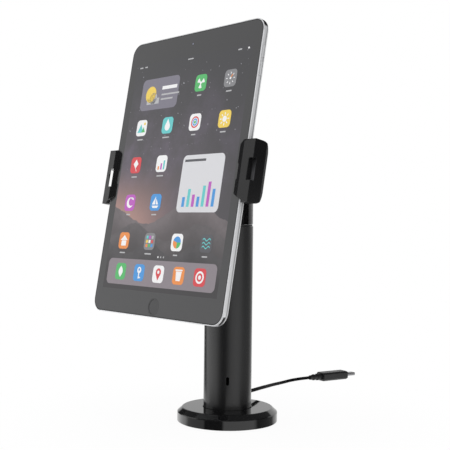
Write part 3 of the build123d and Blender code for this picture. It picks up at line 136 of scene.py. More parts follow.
# %% Finish: a material and its nodes
class Finish:
    """A material, or the world, and every node in it. Lengths are in millimetres."""

    def __init__(self, name, owner=None):
        self.owner = owner or bpy.data.materials.new(name)
        self.owner.use_nodes = True
        self.tree = self.owner.node_tree
        self.shader = self.tree.nodes.get("Principled BSDF")

    def feed(self, node, key, value):
        """Links a signal or socket to an input, or sets a number, vector or colour on it."""
        socket = node.inputs[key]
        if isinstance(value, Signal):
            value = value.socket
        if isinstance(value, bpy.types.NodeSocket):
            self.tree.links.new(value, socket)
        elif isinstance(value, (int, float)) or len(socket.default_value) == len(value):
            socket.default_value = value
        else:
            socket.default_value = (*value, 1)

    def node(self, kind, settings=None, sockets=None):
        node = self.tree.nodes.new(kind)
        for key, value in (settings or {}).items():
            if key == "stops":
                ramp = node.color_ramp.elements
                while len(ramp) < len(value):
                    ramp.new(1)
                for element, (position, tint) in zip(ramp, value):
                    element.position = position
                    element.color = (*tint, 1)
            else:
                setattr(node, key, value)
        for key, value in (sockets or {}).items():
            self.feed(node, key, value)
        return node

    def set(self, **sockets):
        for key, value in sockets.items():
            self.feed(self.shader, key.replace("_", " "), value)

    def place(self):
        return self.node("ShaderNodeTexCoord").outputs["Object"]

    def dot(self, first, second):
        sockets = {0: first, 1: second}
        node = self.node("ShaderNodeVectorMath", {"operation": "DOT_PRODUCT"}, sockets)
        return Signal(self, node.outputs["Value"])

    def along(self, direction, origin=(0, 0, 0), place=None):
        """How far a point lies from the origin in one direction."""
        sockets = {0: place or self.place(), 1: origin}
        offset = self.node("ShaderNodeVectorMath", {"operation": "SUBTRACT"}, sockets)
        return self.dot(offset.outputs[0], direction) * (1 / MM)

    def noise(self, size, detail=2.0, roughness=0.5, place=None, kind="Noise"):
        """Noise whose grains are about this wide."""
        sockets = {"Vector": place or self.place(), "Scale": 1 / (size * MM)}
        if kind == "Noise":
            sockets.update(Detail=detail, Roughness=roughness)
        return Signal(self, self.node(f"ShaderNodeTex{kind}", None, sockets).outputs[0])

    def mix(self, factor, first, second):
        node = self.node("ShaderNodeMix", {"data_type": "RGBA"}, {0: factor, 6: first, 7: second})
        return node.outputs[2]

    def stretched(self, scale):
        node = self.node("ShaderNodeMapping", None, {"Vector": self.place(), "Scale": scale})
        return node.outputs[0]

    def soft_edges(self, width):
        """Normals that turn round an edge, as if it were rounded by this width."""
        return self.node("ShaderNodeBevel", {"samples": 4}, {"Radius": width * MM}).outputs[0]

    def edge_mask(self, width):
        """1 along the edges and 0 on the faces."""
        plain = self.node("ShaderNodeNewGeometry").outputs["Normal"]
        return self.dot(self.soft_edges(width), plain).step(0.995, 0.93)

    def bump(self, height, depth, edge=0.0):
        """Presses a pattern of 0 to 1 this deep, into a surface with edges rounded this wide."""
        sockets = {"Height": height, "Distance": depth * MM, "Strength": 1.0}
        if edge:
            sockets["Normal"] = self.soft_edges(edge)
        self.feed(self.shader, "Normal", self.node("ShaderNodeBump", None, sockets).outputs[0])


print("shader expressions are ready")

# %% [markdown]
# ## The tablet's own directions
# The tablet leans back ten degrees, so its patterns need its own directions: across it, up it
# and out of its glass. The helper `spot` turns such a place, in millimetres, into a point of
# the frame. An empty with children could do that, but vectors serve shaders and meshes alike.

# %% Tablet directions
lean = radians(10.1)
pivot = Vector((0, 0, 199.4)) * MM
rising = Vector((0, sin(lean), cos(lean)))
facing = Vector((0, -cos(lean), sin(lean)))
tablet_rise = 1.5
glass_reach = 63.45
glass_straight = (73.75, 109.0)
glass_corner = 10.0
display_half = (75.0, 99.5)


def spot(across, up, out):
    """Point at these millimetres right of, above and out from the middle of the tablet."""
    return pivot + (Vector((across, 0, 0)) + rising * (up + tablet_rise) + facing * out) * MM


tablet_middle = spot(0, 0, 0)
glass_low, glass_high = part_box("tablet_glass")
print("glass front is", round((glass_high - glass_low).x / MM, 1), "mm wide")

# %% [markdown]
# ## Black finishes
# The stand is black all over, yet no two of its blacks are alike. The pole and head are powder
# coated steel: a faint orange peel and a satin shine. Above the joint the coat is painted
# lighter, as painted light that lifts the shade on the head. The base cover is polished and
# mirrors the pole. One black for all would be quicker, but the eye tells finishes apart by grain,
# shine and worn edges, so each one gets its own.

# %% Powder coat and polished cover
joint_height = 170.0
base_height = 12.6


def powder_coat():
    coat = Finish("powder_coat")
    peel = coat.noise(1.1, 3)
    speck = coat.noise(0.22, 2)
    worn = coat.edge_mask(0.5) * coat.noise(6, 3).step(0.45, 0.7)
    plain = coat.mix(coat.noise(35), (0.0085, 0.0085, 0.009), (0.012, 0.012, 0.0125))
    # Painted light: above the joint the coat is coloured lighter, to lift the shade on the head.
    head = coat.along((0, 0, 1)).step(joint_height, joint_height + 0.4)
    coat_with_painted_head_light = coat.mix(head * 0.5, plain, (0.035, 0.033, 0.034))
    coat.set(
        Base_Color=coat.mix(worn, coat_with_painted_head_light, (0.03, 0.03, 0.031)),
        Roughness=coat.noise(18, 3) * 0.06 + peel * 0.05 + 0.17, IOR=1.5,
    )
    coat.bump(peel * 0.7 + speck * 0.3, 0.007, edge=0.5)
    return coat


def polished_cover():
    cover = Finish("polished_cover")
    hairline = cover.noise(1, 4, 0.7, cover.stretched((0.25, 6.0, 1.0))).step(0.62, 0.75)
    top = cover.along((0, 0, 1)).step(base_height - 0.6, base_height - 0.1)
    dust = cover.noise(0.5, 1).step(0.72, 0.8) * top
    cover.set(
        Base_Color=cover.mix(dust, (0.006, 0.006, 0.0065), (0.03, 0.03, 0.03)),
        Roughness=cover.noise(14, 2) * 0.05 + hairline * 0.06 + dust * 0.3 + 0.045,
        Coat_Weight=0.35, Coat_Roughness=0.03, IOR=1.5,
    )
    cover.bump(cover.noise(9, 1) * 0.6 + hairline * 0.1, 0.006, edge=0.7)
    return cover


powder, cover = powder_coat(), polished_cover()
print("powder coat has", len(powder.tree.nodes), "nodes")

# %% [markdown]
# ## Moulded plastic and rubber
# The jaws and the holder are moulded with a fine spark grain. The floor of the notch in each
# jaw's front corner has painted light: it is coloured lighter, most at its bottom, as if lit
# from the front. The long bevel at the back is matt. These could be materials of their own, but
# each is one flat face of a CAD mesh, so a mask finds it by its distance from a plane. The pads
# on the jaws are soft rubber with fine ribs.

# %% Grained plastic and soft rubber
notch_inside, jaw_side = 90.3, 94.3
notch_floor, notch_low, notch_high = 95.9, 188.6, 205.6
bevel_across, bevel_ahead, bevel_reach = 0.8423, 0.5391, 32.53


def grained_plastic():
    plastic = Finish("grained_plastic")
    grain = plastic.noise(0.32, 2) * 0.6 + plastic.noise(0.45, kind="Voronoi") * 0.5
    worn = plastic.edge_mask(0.45) * plastic.noise(5, 3).step(0.4, 0.75)
    across = abs(plastic.along((1, 0, 0)))
    ahead, up = plastic.along(facing), plastic.along(rising)
    wide = across.step(notch_inside + 0.1, notch_inside + 0.4)
    wide = wide * across.step(jaw_side - 0.1, jaw_side - 0.3)
    tall = up.step(notch_low - 0.3, notch_low) * up.step(notch_high + 0.3, notch_high)
    # Painted light: the notch floor is coloured lighter, most at its bottom, as if lit from the
    # front.
    notch_painted_light_mask = abs(ahead - notch_floor).step(0.3, 0.15) * wide * tall
    bevel = abs(across * bevel_across - ahead * bevel_ahead - bevel_reach).step(0.3, 0.15)
    plain = plastic.mix(plastic.noise(25), (0.0055, 0.0055, 0.006), (0.008, 0.008, 0.0085))
    moulded = plastic.mix(worn, plain, (0.022, 0.022, 0.023))
    painted_notch_light = up.step(notch_high + 3.4, notch_low)
    plastic.set(
        Base_Color=plastic.mix(notch_painted_light_mask * painted_notch_light, moulded, (0.1, 0.1, 0.105)),
        Roughness=bevel * 0.5 + grain * 0.06 + plastic.noise(12) * 0.05 + 0.11, IOR=1.5,
    )
    plastic.bump(grain, 0.005, edge=0.45)
    return plastic


def soft_rubber(name, rib_pitch=0.0):
    rubber = Finish(name)
    bloom = rubber.noise(4, 3).step(0.5, 0.8)
    height = rubber.noise(0.5, 3)
    if rib_pitch:
        ribs = (rubber.along(rising) * (2 * pi / rib_pitch)).sine()
        height = height * 0.3 + ribs * 0.35 + 0.35
    rubber.set(
        Base_Color=rubber.mix(bloom, (0.014, 0.014, 0.015), (0.026, 0.026, 0.027)),
        Roughness=rubber.noise(2, 3) * 0.15 + 0.55, IOR=1.5, Sheen_Weight=0.1, Sheen_Roughness=0.4,
    )
    rubber.bump(height, 0.12 if rib_pitch else 0.03, edge=0.3)
    return rubber


plastic = grained_plastic()
plain_rubber, ribbed_rubber = soft_rubber("plain_rubber"), soft_rubber("ribbed_rubber", 2.0)
print("grained plastic has", len(plastic.tree.nodes), "nodes")

# %% [markdown]
# ## Metals
# Steel screws and washers are turned or pressed, so a stretched noise gives them fine lines.
# The tablet's shell is blasted and anodised, which leaves a very even fine sparkle, and its rim
# is cut bright afterwards: a band next to the glass where the roughness drops. The dark line
# round its side and the dark marks at two right corners are painted reflections. They could be
# mirrored objects, but those would wander with every pose, so they are masks too.

# %% Steel and anodised shell
def turned_steel(name, tint, rough, lines=(1.0, 1.0, 14.0)):
    steel = Finish(name)
    line = steel.noise(2.5, 4, 0.7, steel.stretched(lines))
    stain = steel.noise(7, 3).step(0.5, 0.8)
    steel.set(
        Base_Color=steel.mix(stain, tint, [part * 0.75 for part in tint]), Metallic=1.0,
        Roughness=line * 0.16 + stain * 0.08 + rough,
    )
    steel.bump(line, 0.004, edge=0.15)
    return steel


def past_glass(across, up):
    """How far a point lies outside the glass's rounded outline, in millimetres."""
    beside = (abs(across) - glass_straight[0]).most(0.0)
    beyond = (abs(up) - glass_straight[1]).most(0.0)
    return (beside * beside + beyond * beyond).math("SQRT") - glass_corner


def anodised_shell():
    """Its masks are in millimetres, behind the glass's face and from the tablet's middle."""
    shell = Finish("anodised_shell")
    blast = shell.noise(0.14, 1)
    behind = glass_reach - shell.along(facing, pivot)
    across, up = shell.along((1, 0, 0), tablet_middle), shell.along(rising, tablet_middle)
    rim = behind.step(0.62, 0.5)
    # Painted reflection: a dark line round the side of the shell.
    painted_reflection_line = abs(behind - 3.4).step(0.75, 0.3)
    # Painted reflections: dark marks at the upper and lower right corners of the rim.
    upper_corner_reflection = across.step(74.5, 76.0) * up.step(112.2, 113.6) * behind.step(5.6, 5.2)
    lower_reflection_band = abs(behind - 2.2).step(1.3, 1.0)
    lower_corner_reflection = across.step(78.0, 79.5) * up.step(-111.5, -113.0) * lower_reflection_band
    seam = past_glass(across, up).step(0.4, 0.2) * behind.step(0.3, 0.1)
    plain = shell.mix(shell.noise(40), (0.80, 0.805, 0.81), (0.85, 0.855, 0.86))
    shell_with_reflection_line = shell.mix(painted_reflection_line * 0.7, plain, (0.2, 0.2, 0.21))
    side = shell.mix(upper_corner_reflection.most(lower_corner_reflection), shell_with_reflection_line, (0.006, 0.006, 0.007))
    bright_cut = shell.mix(rim, side, (0.88, 0.885, 0.9))
    shell.set(
        Base_Color=shell.mix(seam, bright_cut, (0.02, 0.02, 0.02)),
        Metallic=0.3, Roughness=rim * -0.2 + blast * 0.06 + 0.27,
    )
    shell.bump(blast * (1 - rim), 0.003, edge=0.25)
    return shell


bright_steel = turned_steel("bright_steel", (0.56, 0.56, 0.57), 0.2)
dark_steel = turned_steel("blackened_steel", (0.09, 0.09, 0.095), 0.3)
zinc_plate = turned_steel("zinc_plate", (0.42, 0.42, 0.44), 0.3, (9.0, 1.0, 1.0))
shell_steel = turned_steel("plug_shell_steel", (0.32, 0.32, 0.33), 0.16, (1.0, 9.0, 1.0))
anodised = anodised_shell()
print("anodised shell has", len(anodised.tree.nodes), "nodes")

# %% [markdown]
# ## The glass front
# The glass covers the whole front, and the picture lies right behind it. A real glass would
# need a lit panel under a clear sheet, which is slow and dull at this size, so the glass is an
# opaque gloss whose colour is the picture: a dark border painted grey as painted sheen, lighter
# towards the bottom, a dim evening sky with a warm glow low on the left, and three ridges of
# dunes. Round its edge runs the seam between glass and rim.

# %% Glass with its picture
low_sky, high_sky = (0.085, 0.075, 0.085), (0.036, 0.036, 0.039)
dunes = (
    # crest and swing as shares of the height, period in millimetres, colour
    (0.33, 0.045, 118, (0.075, 0.065, 0.068)),
    (0.25, 0.035, 87, (0.05, 0.045, 0.047)),
    (0.18, 0.028, 64, (0.034, 0.032, 0.034)),
)


def evening_sky(glass, right, height):
    sky = glass.mix(height.step(0.25, 1.0), low_sky, high_sky)
    haze = glass.noise(38, 4, 0.6).step(0.42, 0.72) * height.step(0.2, 0.5) * height.step(1.0, 0.55)
    sky = glass.mix(haze * 0.55, sky, (0.13, 0.105, 0.15))
    sky = glass.mix(right.step(0.1, 1.0) * 0.6, sky, high_sky)
    glow = right.step(0.35, -1.0) * height.step(0.56, 0.2)
    sky = glass.mix(glow, sky, (0.44, 0.25, 0.21))
    stars = glass.noise(1.6, 0).step(0.80, 0.86) * height.step(0.4, 0.7)
    return glass.mix(stars * 0.5, sky, (0.5, 0.5, 0.55))


def glass_front():
    glass = Finish("glass_front")
    across, up = glass.along((1, 0, 0), tablet_middle), glass.along(rising, tablet_middle)
    half_width, half_height = display_half
    within_width = abs(across).step(half_width, half_width - 0.15)
    inside = within_width * abs(up).step(half_height, half_height - 0.15)
    height = up / (2 * half_height) + 0.5
    picture = evening_sky(glass, across / half_width, height)
    for crest, swing, period, tint in dunes:
        wave = (across * (2 * pi / period) + crest * 19).sine() * swing + crest
        ridge = height - wave - (glass.noise(9, 3) - 0.5) * 0.03
        shade = glass.noise(16, 4, 0.65, glass.stretched((1.0, 2.6, 1.0)))
        slope = glass.mix(shade * ridge.step(-0.12, 0.0), tint, [part * 2.4 for part in tint])
        picture = glass.mix(ridge.step(0.0, -0.004), picture, slope)
    # Painted sheen: the dark border is coloured grey, lighter towards the bottom.
    border = glass.mix(height, (0.069, 0.069, 0.0705), (0.051, 0.051, 0.0525))
    border = glass.mix(past_glass(across, up).step(-0.8, -0.5), border, (0.014, 0.014, 0.015))
    smear = glass.noise(22, 4, 0.6).step(0.55, 0.8)
    glass.set(
        Base_Color=glass.mix(inside, border, picture), Roughness=smear * 0.03 + 0.05, IOR=1.5,
        Emission_Color=glass.mix(inside, (0, 0, 0), picture), Emission_Strength=0.35,
    )
    return glass


front_glass = glass_front()
print("glass front has", len(front_glass.tree.nodes), "nodes")

# %% [markdown]
# ## Small finishes
# The tiles on the picture take their colour from an attribute, so one lit finish serves them
# all. Lenses are nearly black glass. Button, acetal washers and the plug's soft vinyl could
# each have a recipe, but they differ only in numbers, so one recipe names those.

# %% Lit picture, lens and plain solids
def lit_picture():
    lit = Finish("lit_picture")
    tint = lit.node("ShaderNodeAttribute", {"attribute_name": "tint"}).outputs["Color"]
    lit.set(
        Base_Color=lit.mix(lit.noise(0.3, 0) * 0.06, tint, (0.5, 0.5, 0.5)),
        Roughness=lit.noise(20) * 0.03 + 0.07, IOR=1.5,
        Emission_Color=tint, Emission_Strength=0.22,
    )
    return lit


def dark_lens():
    lens = Finish("dark_lens")
    ring = lens.noise(1.2, 0).step(0.3, 0.7)
    lens.set(
        Base_Color=lens.mix(ring, (0.004, 0.004, 0.006), (0.012, 0.012, 0.02)),
        Roughness=0.04, Coat_Weight=1.0,
    )
    return lens


def plain_solid(name, cloud, tints, shine, grain, edge):
    """Shine is (noise size, detail, share, base), grain is (size, detail, depth)."""
    solid = Finish(name)
    size, detail, share, base = shine
    grain_size, grain_detail, depth = grain
    solid.set(
        Base_Color=solid.mix(solid.noise(cloud), *tints),
        Roughness=solid.noise(size, detail) * share + base, IOR=1.5,
    )
    solid.bump(solid.noise(grain_size, grain_detail), depth, edge=edge)
    return solid


picture_finish, lens_glass = lit_picture(), dark_lens()
button_finish = plain_solid(
    "button_cap", cloud=8, tints=((0.05, 0.05, 0.0515), (0.056, 0.056, 0.0575)),
    shine=(3, 2, 0.04, 0.08), grain=(6, 1, 0.02), edge=0.25,
)
acetal = plain_solid(
    "black_acetal", cloud=9, tints=((0.008, 0.008, 0.009), (0.014, 0.014, 0.015)),
    shine=(3, 3, 0.15, 0.4), grain=(0.8, 2, 0.01), edge=0.15,
)
soft_vinyl = plain_solid(
    "soft_vinyl", cloud=7, tints=((0.0095, 0.0095, 0.01), (0.014, 0.014, 0.0145)),
    shine=(2, 3, 0.1, 0.3), grain=(0.4, 2, 0.008), edge=0.4,
)
print("made", len(bpy.data.materials), "materials so far")

# %% [markdown]
# ## Dress the CAD nodes
# A CAD node whose shape is right keeps its mesh, and only its material slots change. Rules on
# the names could choose a finish, but a table of finishes and nodes can be read at a glance.

# %% Assign the finishes
screw_names = [name for name in nodes if name.startswith(("cover_screw", "jaw_screw", "pole_grub"))]
dressing = {
    powder: ["pole_tube", "head_shell", "tilt_arm", "rack_arm_right", "rack_arm_left"],
    cover: ["base_cover"],
    plastic: ["holder_housing", "holder_cover", "jaw_right", "jaw_left", "cable_socket"],
    soft_vinyl: ["plug_body", "cord_strain_relief"],
    plain_rubber: ["rubber_foot_pad", "cable_grommet", "back_pad", "cable_inner_run", "free_cord"],
    ribbed_rubber: ["jaw_pad_left", "jaw_pad_right"],
    zinc_plate: ["base_flange"],
    dark_steel: ["tilt_bolt", "tilt_nut", "hub_screw", "lock_sleeve", "lock_cam", *screw_names],
    bright_steel: [
        "swivel_spindle", "swivel_washer", "swivel_nut", "swivel_stop_pin", "hub_retaining_washer",
        "pinion_axle", "return_spring", "lock_barrel",
    ],
    shell_steel: ["plug_shell"],
    acetal: [
        "swivel_bush", "hub_friction_washer", "tilt_washer_left", "tilt_washer_right", "pinion",
        "tablet_core", "display_panel",
    ],
    anodised: ["tablet_housing", "volume_up_key", "volume_down_key", "sleep_key"],
    front_glass: ["tablet_glass"],
    lens_glass: ["rear_lens"],
    button_finish: ["home_button"],
}
for finish, names in dressing.items():
    for name in names:
        nodes[name].data.materials.clear()
        nodes[name].data.materials.append(finish.owner)
print("dressed", sum(map(len, dressing.values())), "of", len(nodes), "nodes")

# %% [markdown]
# ## The cable
# The cable leaves the pole through its grommet, sinks to the table and ends in a plug. The CAD
# cord could stay as it is, but a NURBS curve with a round bevel is smoother for the same
# points, and passes near them without the wobble of a curve that is forced through them.

# %% Cable
exit_azimuth, exit_height = radians(106.0), 19.8
exit_reach, straight_reach = 22.55, 41.0
cable_diameter = 3.2
cord_points = [
    (exit_reach * cos(exit_azimuth), exit_reach * sin(exit_azimuth), exit_height),
    (straight_reach * cos(exit_azimuth), straight_reach * sin(exit_azimuth), exit_height),
    (-27, 68, 17.2), (-48, 97, 12.6), (-70, 126, 7.8), (-88, 154, 3.8), (-92.5, 182, 4.4),
    (-89.4, 200.5, 4.4),
]
jacket = Finish("cable_jacket")
jacket.set(
    Base_Color=jacket.mix(jacket.noise(12), (0.006, 0.006, 0.0065), (0.01, 0.01, 0.0105)),
    Roughness=jacket.noise(1.5, 3) * 0.12 + 0.55, IOR=1.5, Specular_IOR_Level=0.02,
)
jacket.bump(jacket.noise(0.6, 2), 0.015)
curve = bpy.data.curves.new("charging_cable", "CURVE")
curve.dimensions = "3D"
spline = curve.splines.new("NURBS")
spline.points.add(len(cord_points) - 1)
for point, place in zip(spline.points, cord_points):
    point.co = (*(Vector(place) * MM), 1)
spline.order_u = 3
spline.use_endpoint_u = True
curve.bevel_depth = cable_diameter / 2 * MM
curve.bevel_resolution = 5
curve.resolution_u = 16
curve.use_fill_caps = True
curve.materials.append(jacket.owner)
cable = add_object("charging_cable", curve)
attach(cable, "base")
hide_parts("free_cord")
print("cable follows", len(cord_points), "points")

# %% [markdown]
# ## Flat pieces of the picture
# The tiles, their signs, the cards and the dock are thin plates that lie on the glass. They
# could be painted in the shader, but a mask for every sign is long and blurs up close. Each
# plate is an outline pulled up a few hundredths of a millimetre, with its colour in an
# attribute.

# %% Plates
def new_mesh(name, points, faces=()):
    mesh = bpy.data.meshes.new(name)
    mesh.from_pydata(points, [], faces)
    return mesh


class Plates:
    """Collects closed outlines and makes one mesh of thin plates on the glass from them."""

    def __init__(self, name):
        self.name = name
        self.vertices = []
        self.faces = []
        self.tints = []

    def add(self, outline, tint, low, high):
        start, count = len(self.vertices), len(outline)
        for out in (low, high):
            self.vertices += [spot(across, up, glass_reach + out) for across, up in outline]
        top = list(range(start + count, start + 2 * count))
        self.faces.append(top)
        self.faces.append([index - count for index in reversed(top)])
        for index in range(count):
            here, after = start + index, start + (index + 1) % count
            self.faces.append([here, after, after + count, here + count])
        self.tints += [tint] * (count + 2)

    def build(self):
        mesh = new_mesh(self.name, self.vertices, self.faces)
        layer = mesh.color_attributes.new("tint", "FLOAT_COLOR", "CORNER")
        for face, tint in zip(mesh.polygons, self.tints):
            for corner in face.loop_indices:
                layer.data[corner].color = (*tint, 1)
        mesh.materials.append(picture_finish.owner)
        piece = add_object(self.name, mesh)
        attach(piece, "tablet")
        print(self.name, "has", len(self.faces), "faces")


# %% Outlines
def round_box(width, height, corner, steps=6):
    """Counter-clockwise outline of a box with round corners."""
    points = []
    for quarter, (side, end) in enumerate(((1, 1), (-1, 1), (-1, -1), (1, -1))):
        middle_x, middle_y = side * (width / 2 - corner), end * (height / 2 - corner)
        for step in range(steps + 1):
            angle = pi / 2 * (quarter + step / steps)
            points.append((middle_x + corner * cos(angle), middle_y + corner * sin(angle)))
    return points


def disc(radius, middle=(0, 0), count=28, start=0.0, share=1.0):
    """Outline of a disc, or of a slice of one that begins at its middle."""
    points = [] if share == 1 else [middle]
    steps = count if share == 1 else count + 1
    for step in range(steps):
        angle = 2 * pi * (start + share * step / count)
        points.append((middle[0] + radius * cos(angle), middle[1] + radius * sin(angle)))
    return points


def between_arcs(outer, inner):
    """One outline from the arcs of two slices, without their middles."""
    return outer[1:] + inner[:0:-1]


def bar(width, height, middle=(0, 0), angle=0.0):
    """Outline of a bar, turned round its middle."""
    across, up = width / 2, height / 2
    turned, lifted = cos(radians(angle)), sin(radians(angle))
    return [
        (middle[0] + x * turned - y * lifted, middle[1] + x * lifted + y * turned)
        for x, y in ((across, up), (-across, up), (-across, -up), (across, -up))
    ]


def moved(outline, across, up):
    return [(x + across, y + up) for x, y in outline]


print("a round box has", len(round_box(10, 10, 2)), "points")

# %% [markdown]
# ## Tiles, captions and dots
# Tiles, captions and page dots are all the same thing: a small round-cornered plate, many
# times over. Geometry Nodes suits that: one tree makes the plate from four sizes and sets it on
# every point of a guide mesh, whose points carry each plate's colour and stretch.

# %% Helpers for trees
def start_tree(name, sizes):
    """A tree with these number inputs, a function that adds nodes to it, and its inputs."""
    tree = bpy.data.node_groups.new(name, "GeometryNodeTree")
    face = tree.interface
    face.new_socket("Geometry", in_out="INPUT", socket_type="NodeSocketGeometry")
    for size in sizes:
        face.new_socket(size, in_out="INPUT", socket_type="NodeSocketFloat")
    face.new_socket("Material", in_out="INPUT", socket_type="NodeSocketMaterial")
    face.new_socket("Geometry", in_out="OUTPUT", socket_type="NodeSocketGeometry")

    def add(kind, settings=None, **sockets):
        node = tree.nodes.new(kind)
        for key, value in (settings or {}).items():
            setattr(node, key, value)
        for key, value in sockets.items():
            socket = node.inputs[key.replace("_", " ")]
            if isinstance(value, bpy.types.NodeSocket):
                tree.links.new(value, socket)
            else:
                socket.default_value = value
        return node

    return tree, add, add("NodeGroupInput").outputs


def set_on_points(add, given, shape, **sockets):
    """Ends a tree: the shape on every point, tilted, made real and given its material."""
    tilt = add("ShaderNodeCombineXYZ", X=given["Tilt"])
    spread = add(
        "GeometryNodeInstanceOnPoints", Points=given["Geometry"], Instance=shape,
        Rotation=tilt.outputs[0], **sockets,
    )
    real = add("GeometryNodeRealizeInstances", Geometry=spread.outputs[0])
    dressed = add("GeometryNodeSetMaterial", Geometry=real.outputs[0], Material=given["Material"])
    add("NodeGroupOutput", Geometry=dressed.outputs[0])


def grow(name, tree, guide, inputs):
    """Runs a tree on a guide mesh and returns the result as a plain piece."""
    carrier = add_object(name + "_guide", guide)
    modifier = carrier.modifiers.new("grow", "NODES")
    modifier.node_group = tree
    for item in tree.interface.items_tree:
        if item.in_out == "INPUT" and item.name in inputs:
            modifier[item.identifier] = inputs[item.name]
    view = carrier.evaluated_get(bpy.context.evaluated_depsgraph_get())
    mesh = bpy.data.meshes.new_from_object(view)
    carrier.modifiers.clear()
    bpy.data.objects.remove(carrier)
    print(name, "has", len(mesh.polygons), "faces")
    return add_object(name, mesh)


# %% Tree that sets plates on points
def plate_tree():
    sizes = ("Width", "Height", "Corner", "Thickness", "Tilt")
    tree, add, given = start_tree("plates_on_points", sizes)
    outline = add(
        "GeometryNodeCurvePrimitiveQuadrilateral", Width=given["Width"], Height=given["Height"],
    )
    fillet = add(
        "GeometryNodeFilletCurve", {"mode": "POLY"}, Curve=outline.outputs[0],
        Radius=given["Corner"], Limit_Radius=True, Count=6,
    )
    sheet = add("GeometryNodeFillCurve", {"mode": "NGONS"}, Curve=fillet.outputs[0])
    raised = add("GeometryNodeExtrudeMesh", Mesh=sheet.outputs[0], Offset_Scale=given["Thickness"])
    under = add("GeometryNodeFlipFaces", Mesh=sheet.outputs[0])
    whole = add("GeometryNodeJoinGeometry")
    for part in (raised.outputs["Mesh"], under.outputs[0]):
        tree.links.new(part, whole.inputs[0])
    welded = add("GeometryNodeMergeByDistance", Geometry=whole.outputs[0], Distance=0.001 * MM)
    stretch = add("GeometryNodeInputNamedAttribute", {"data_type": "FLOAT_VECTOR"}, Name="stretch")
    set_on_points(add, given, welded.outputs[0], Scale=stretch.outputs["Attribute"])
    return tree


plates = plate_tree()


def plates_at(name, rows, width, height, corner, thickness, out):
    """Rows are (across, up, tint, share of the width)."""
    guide = new_mesh("guide", [spot(across, up, glass_reach + out) for across, up, _, _ in rows])
    tints = guide.attributes.new("tint", "FLOAT_COLOR", "POINT")
    stretches = guide.attributes.new("stretch", "FLOAT_VECTOR", "POINT")
    for index, (_, _, tint, share) in enumerate(rows):
        tints.data[index].color = (*tint, 1)
        stretches.data[index].vector = (share, 1, 1)
    piece = grow(name, plates, guide, {
        "Width": width * MM, "Height": height * MM, "Corner": corner * MM,
        "Thickness": thickness * MM, "Tilt": pi / 2 - lean, "Material": picture_finish.owner,
    })
    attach(piece, "tablet")


print("the plate tree has", len(plates.nodes), "nodes")

# %% [markdown]
# ## Layout of the picture
# Two wide cards, a grid of tiles round them and a dock with five tiles fill the screen, in the
# bright colours that such screens have. Positions are millimetres from the tablet's middle.

# %% Colours and places
white, pale = (0.8, 0.8, 0.8), (0.42, 0.42, 0.43)
ash, slate = (0.2, 0.2, 0.21), (0.075, 0.075, 0.085)
green, teal, blue = (0.07, 0.42, 0.12), (0.11, 0.52, 0.52), (0.05, 0.27, 0.62)
red, orange = (0.60, 0.045, 0.055), (0.74, 0.24, 0.05)
yellow, violet = (0.78, 0.56, 0.08), (0.45, 0.09, 0.45)
columns, rows_up = (-54.0, -18.0, 18.0, 54.0), (74.0, 41.0, 8.0, -25.0, -58.0)
tile_cells = [
    (2, 0, green, "fan"), (3, 0, ash, "dial"),
    (0, 1, white, "hill"), (1, 1, teal, "drop"), (2, 1, white, "rings"), (3, 1, yellow, "sun"),
    (0, 2, red, "kite"), (1, 2, white, "bars"),
    (0, 3, violet, "moon"), (1, 3, blue, "sail"),
    (0, 4, orange, "house"), (1, 4, ash, "grid"), (2, 4, white, "pie"), (3, 4, slate, "wave"),
]
dock_up, dock_columns = -84.5, (-52.0, -26.0, 0.0, 26.0, 52.0)
dock_tiles = [(green, "leaf"), (blue, "key"), (white, "pin"), (orange, "cup"), (red, "target")]
signed_tiles = [(columns[column], rows_up[row], *look) for column, row, *look in tile_cells]
signed_tiles += [(across, dock_up, *look) for across, look in zip(dock_columns, dock_tiles)]
print("the picture has", len(signed_tiles), "tiles")

# %% Tiles, captions and dots
tile_rows = [(across, up, tint, 1) for across, up, tint, _ in signed_tiles]
plates_at("picture_tiles", tile_rows, 14.2, 14.2, corner=3.4, thickness=0.05, out=0.06)

caption_drop, status_up, page_up = 10.4, 96.6, -70.6
caption_rows = []
for index, (column, row, _, _) in enumerate(tile_cells):
    share = 0.6 + 0.13 * (index * 5 % 4)
    caption_rows.append((columns[column], rows_up[row] - caption_drop, pale, share))
caption_rows += [
    (-68.0, status_up, pale, 0.5), (-61.0, status_up, pale, 0.4), (0.0, status_up, pale, 0.8),
    (60.5, status_up, pale, 0.5),
]
plates_at("picture_captions", caption_rows, 9.0, 1.1, corner=0.5, thickness=0.04, out=0.03)

dot_rows = [
    (-3.6, page_up, white, 1), (0.0, page_up, pale, 1), (3.6, page_up, pale, 1),
    (70.6, status_up, white, 1.3),
]
plates_at("picture_dots", dot_rows, 1.5, 1.5, corner=0.7, thickness=0.04, out=0.03)

# %% [markdown]
# ## Cards and signs
# The cards and the dock lie lowest, with the tiles and the signs in layers above them. Signs
# could be drawn by hand as curves, but a few discs, bars and corner points each are enough at
# this size.

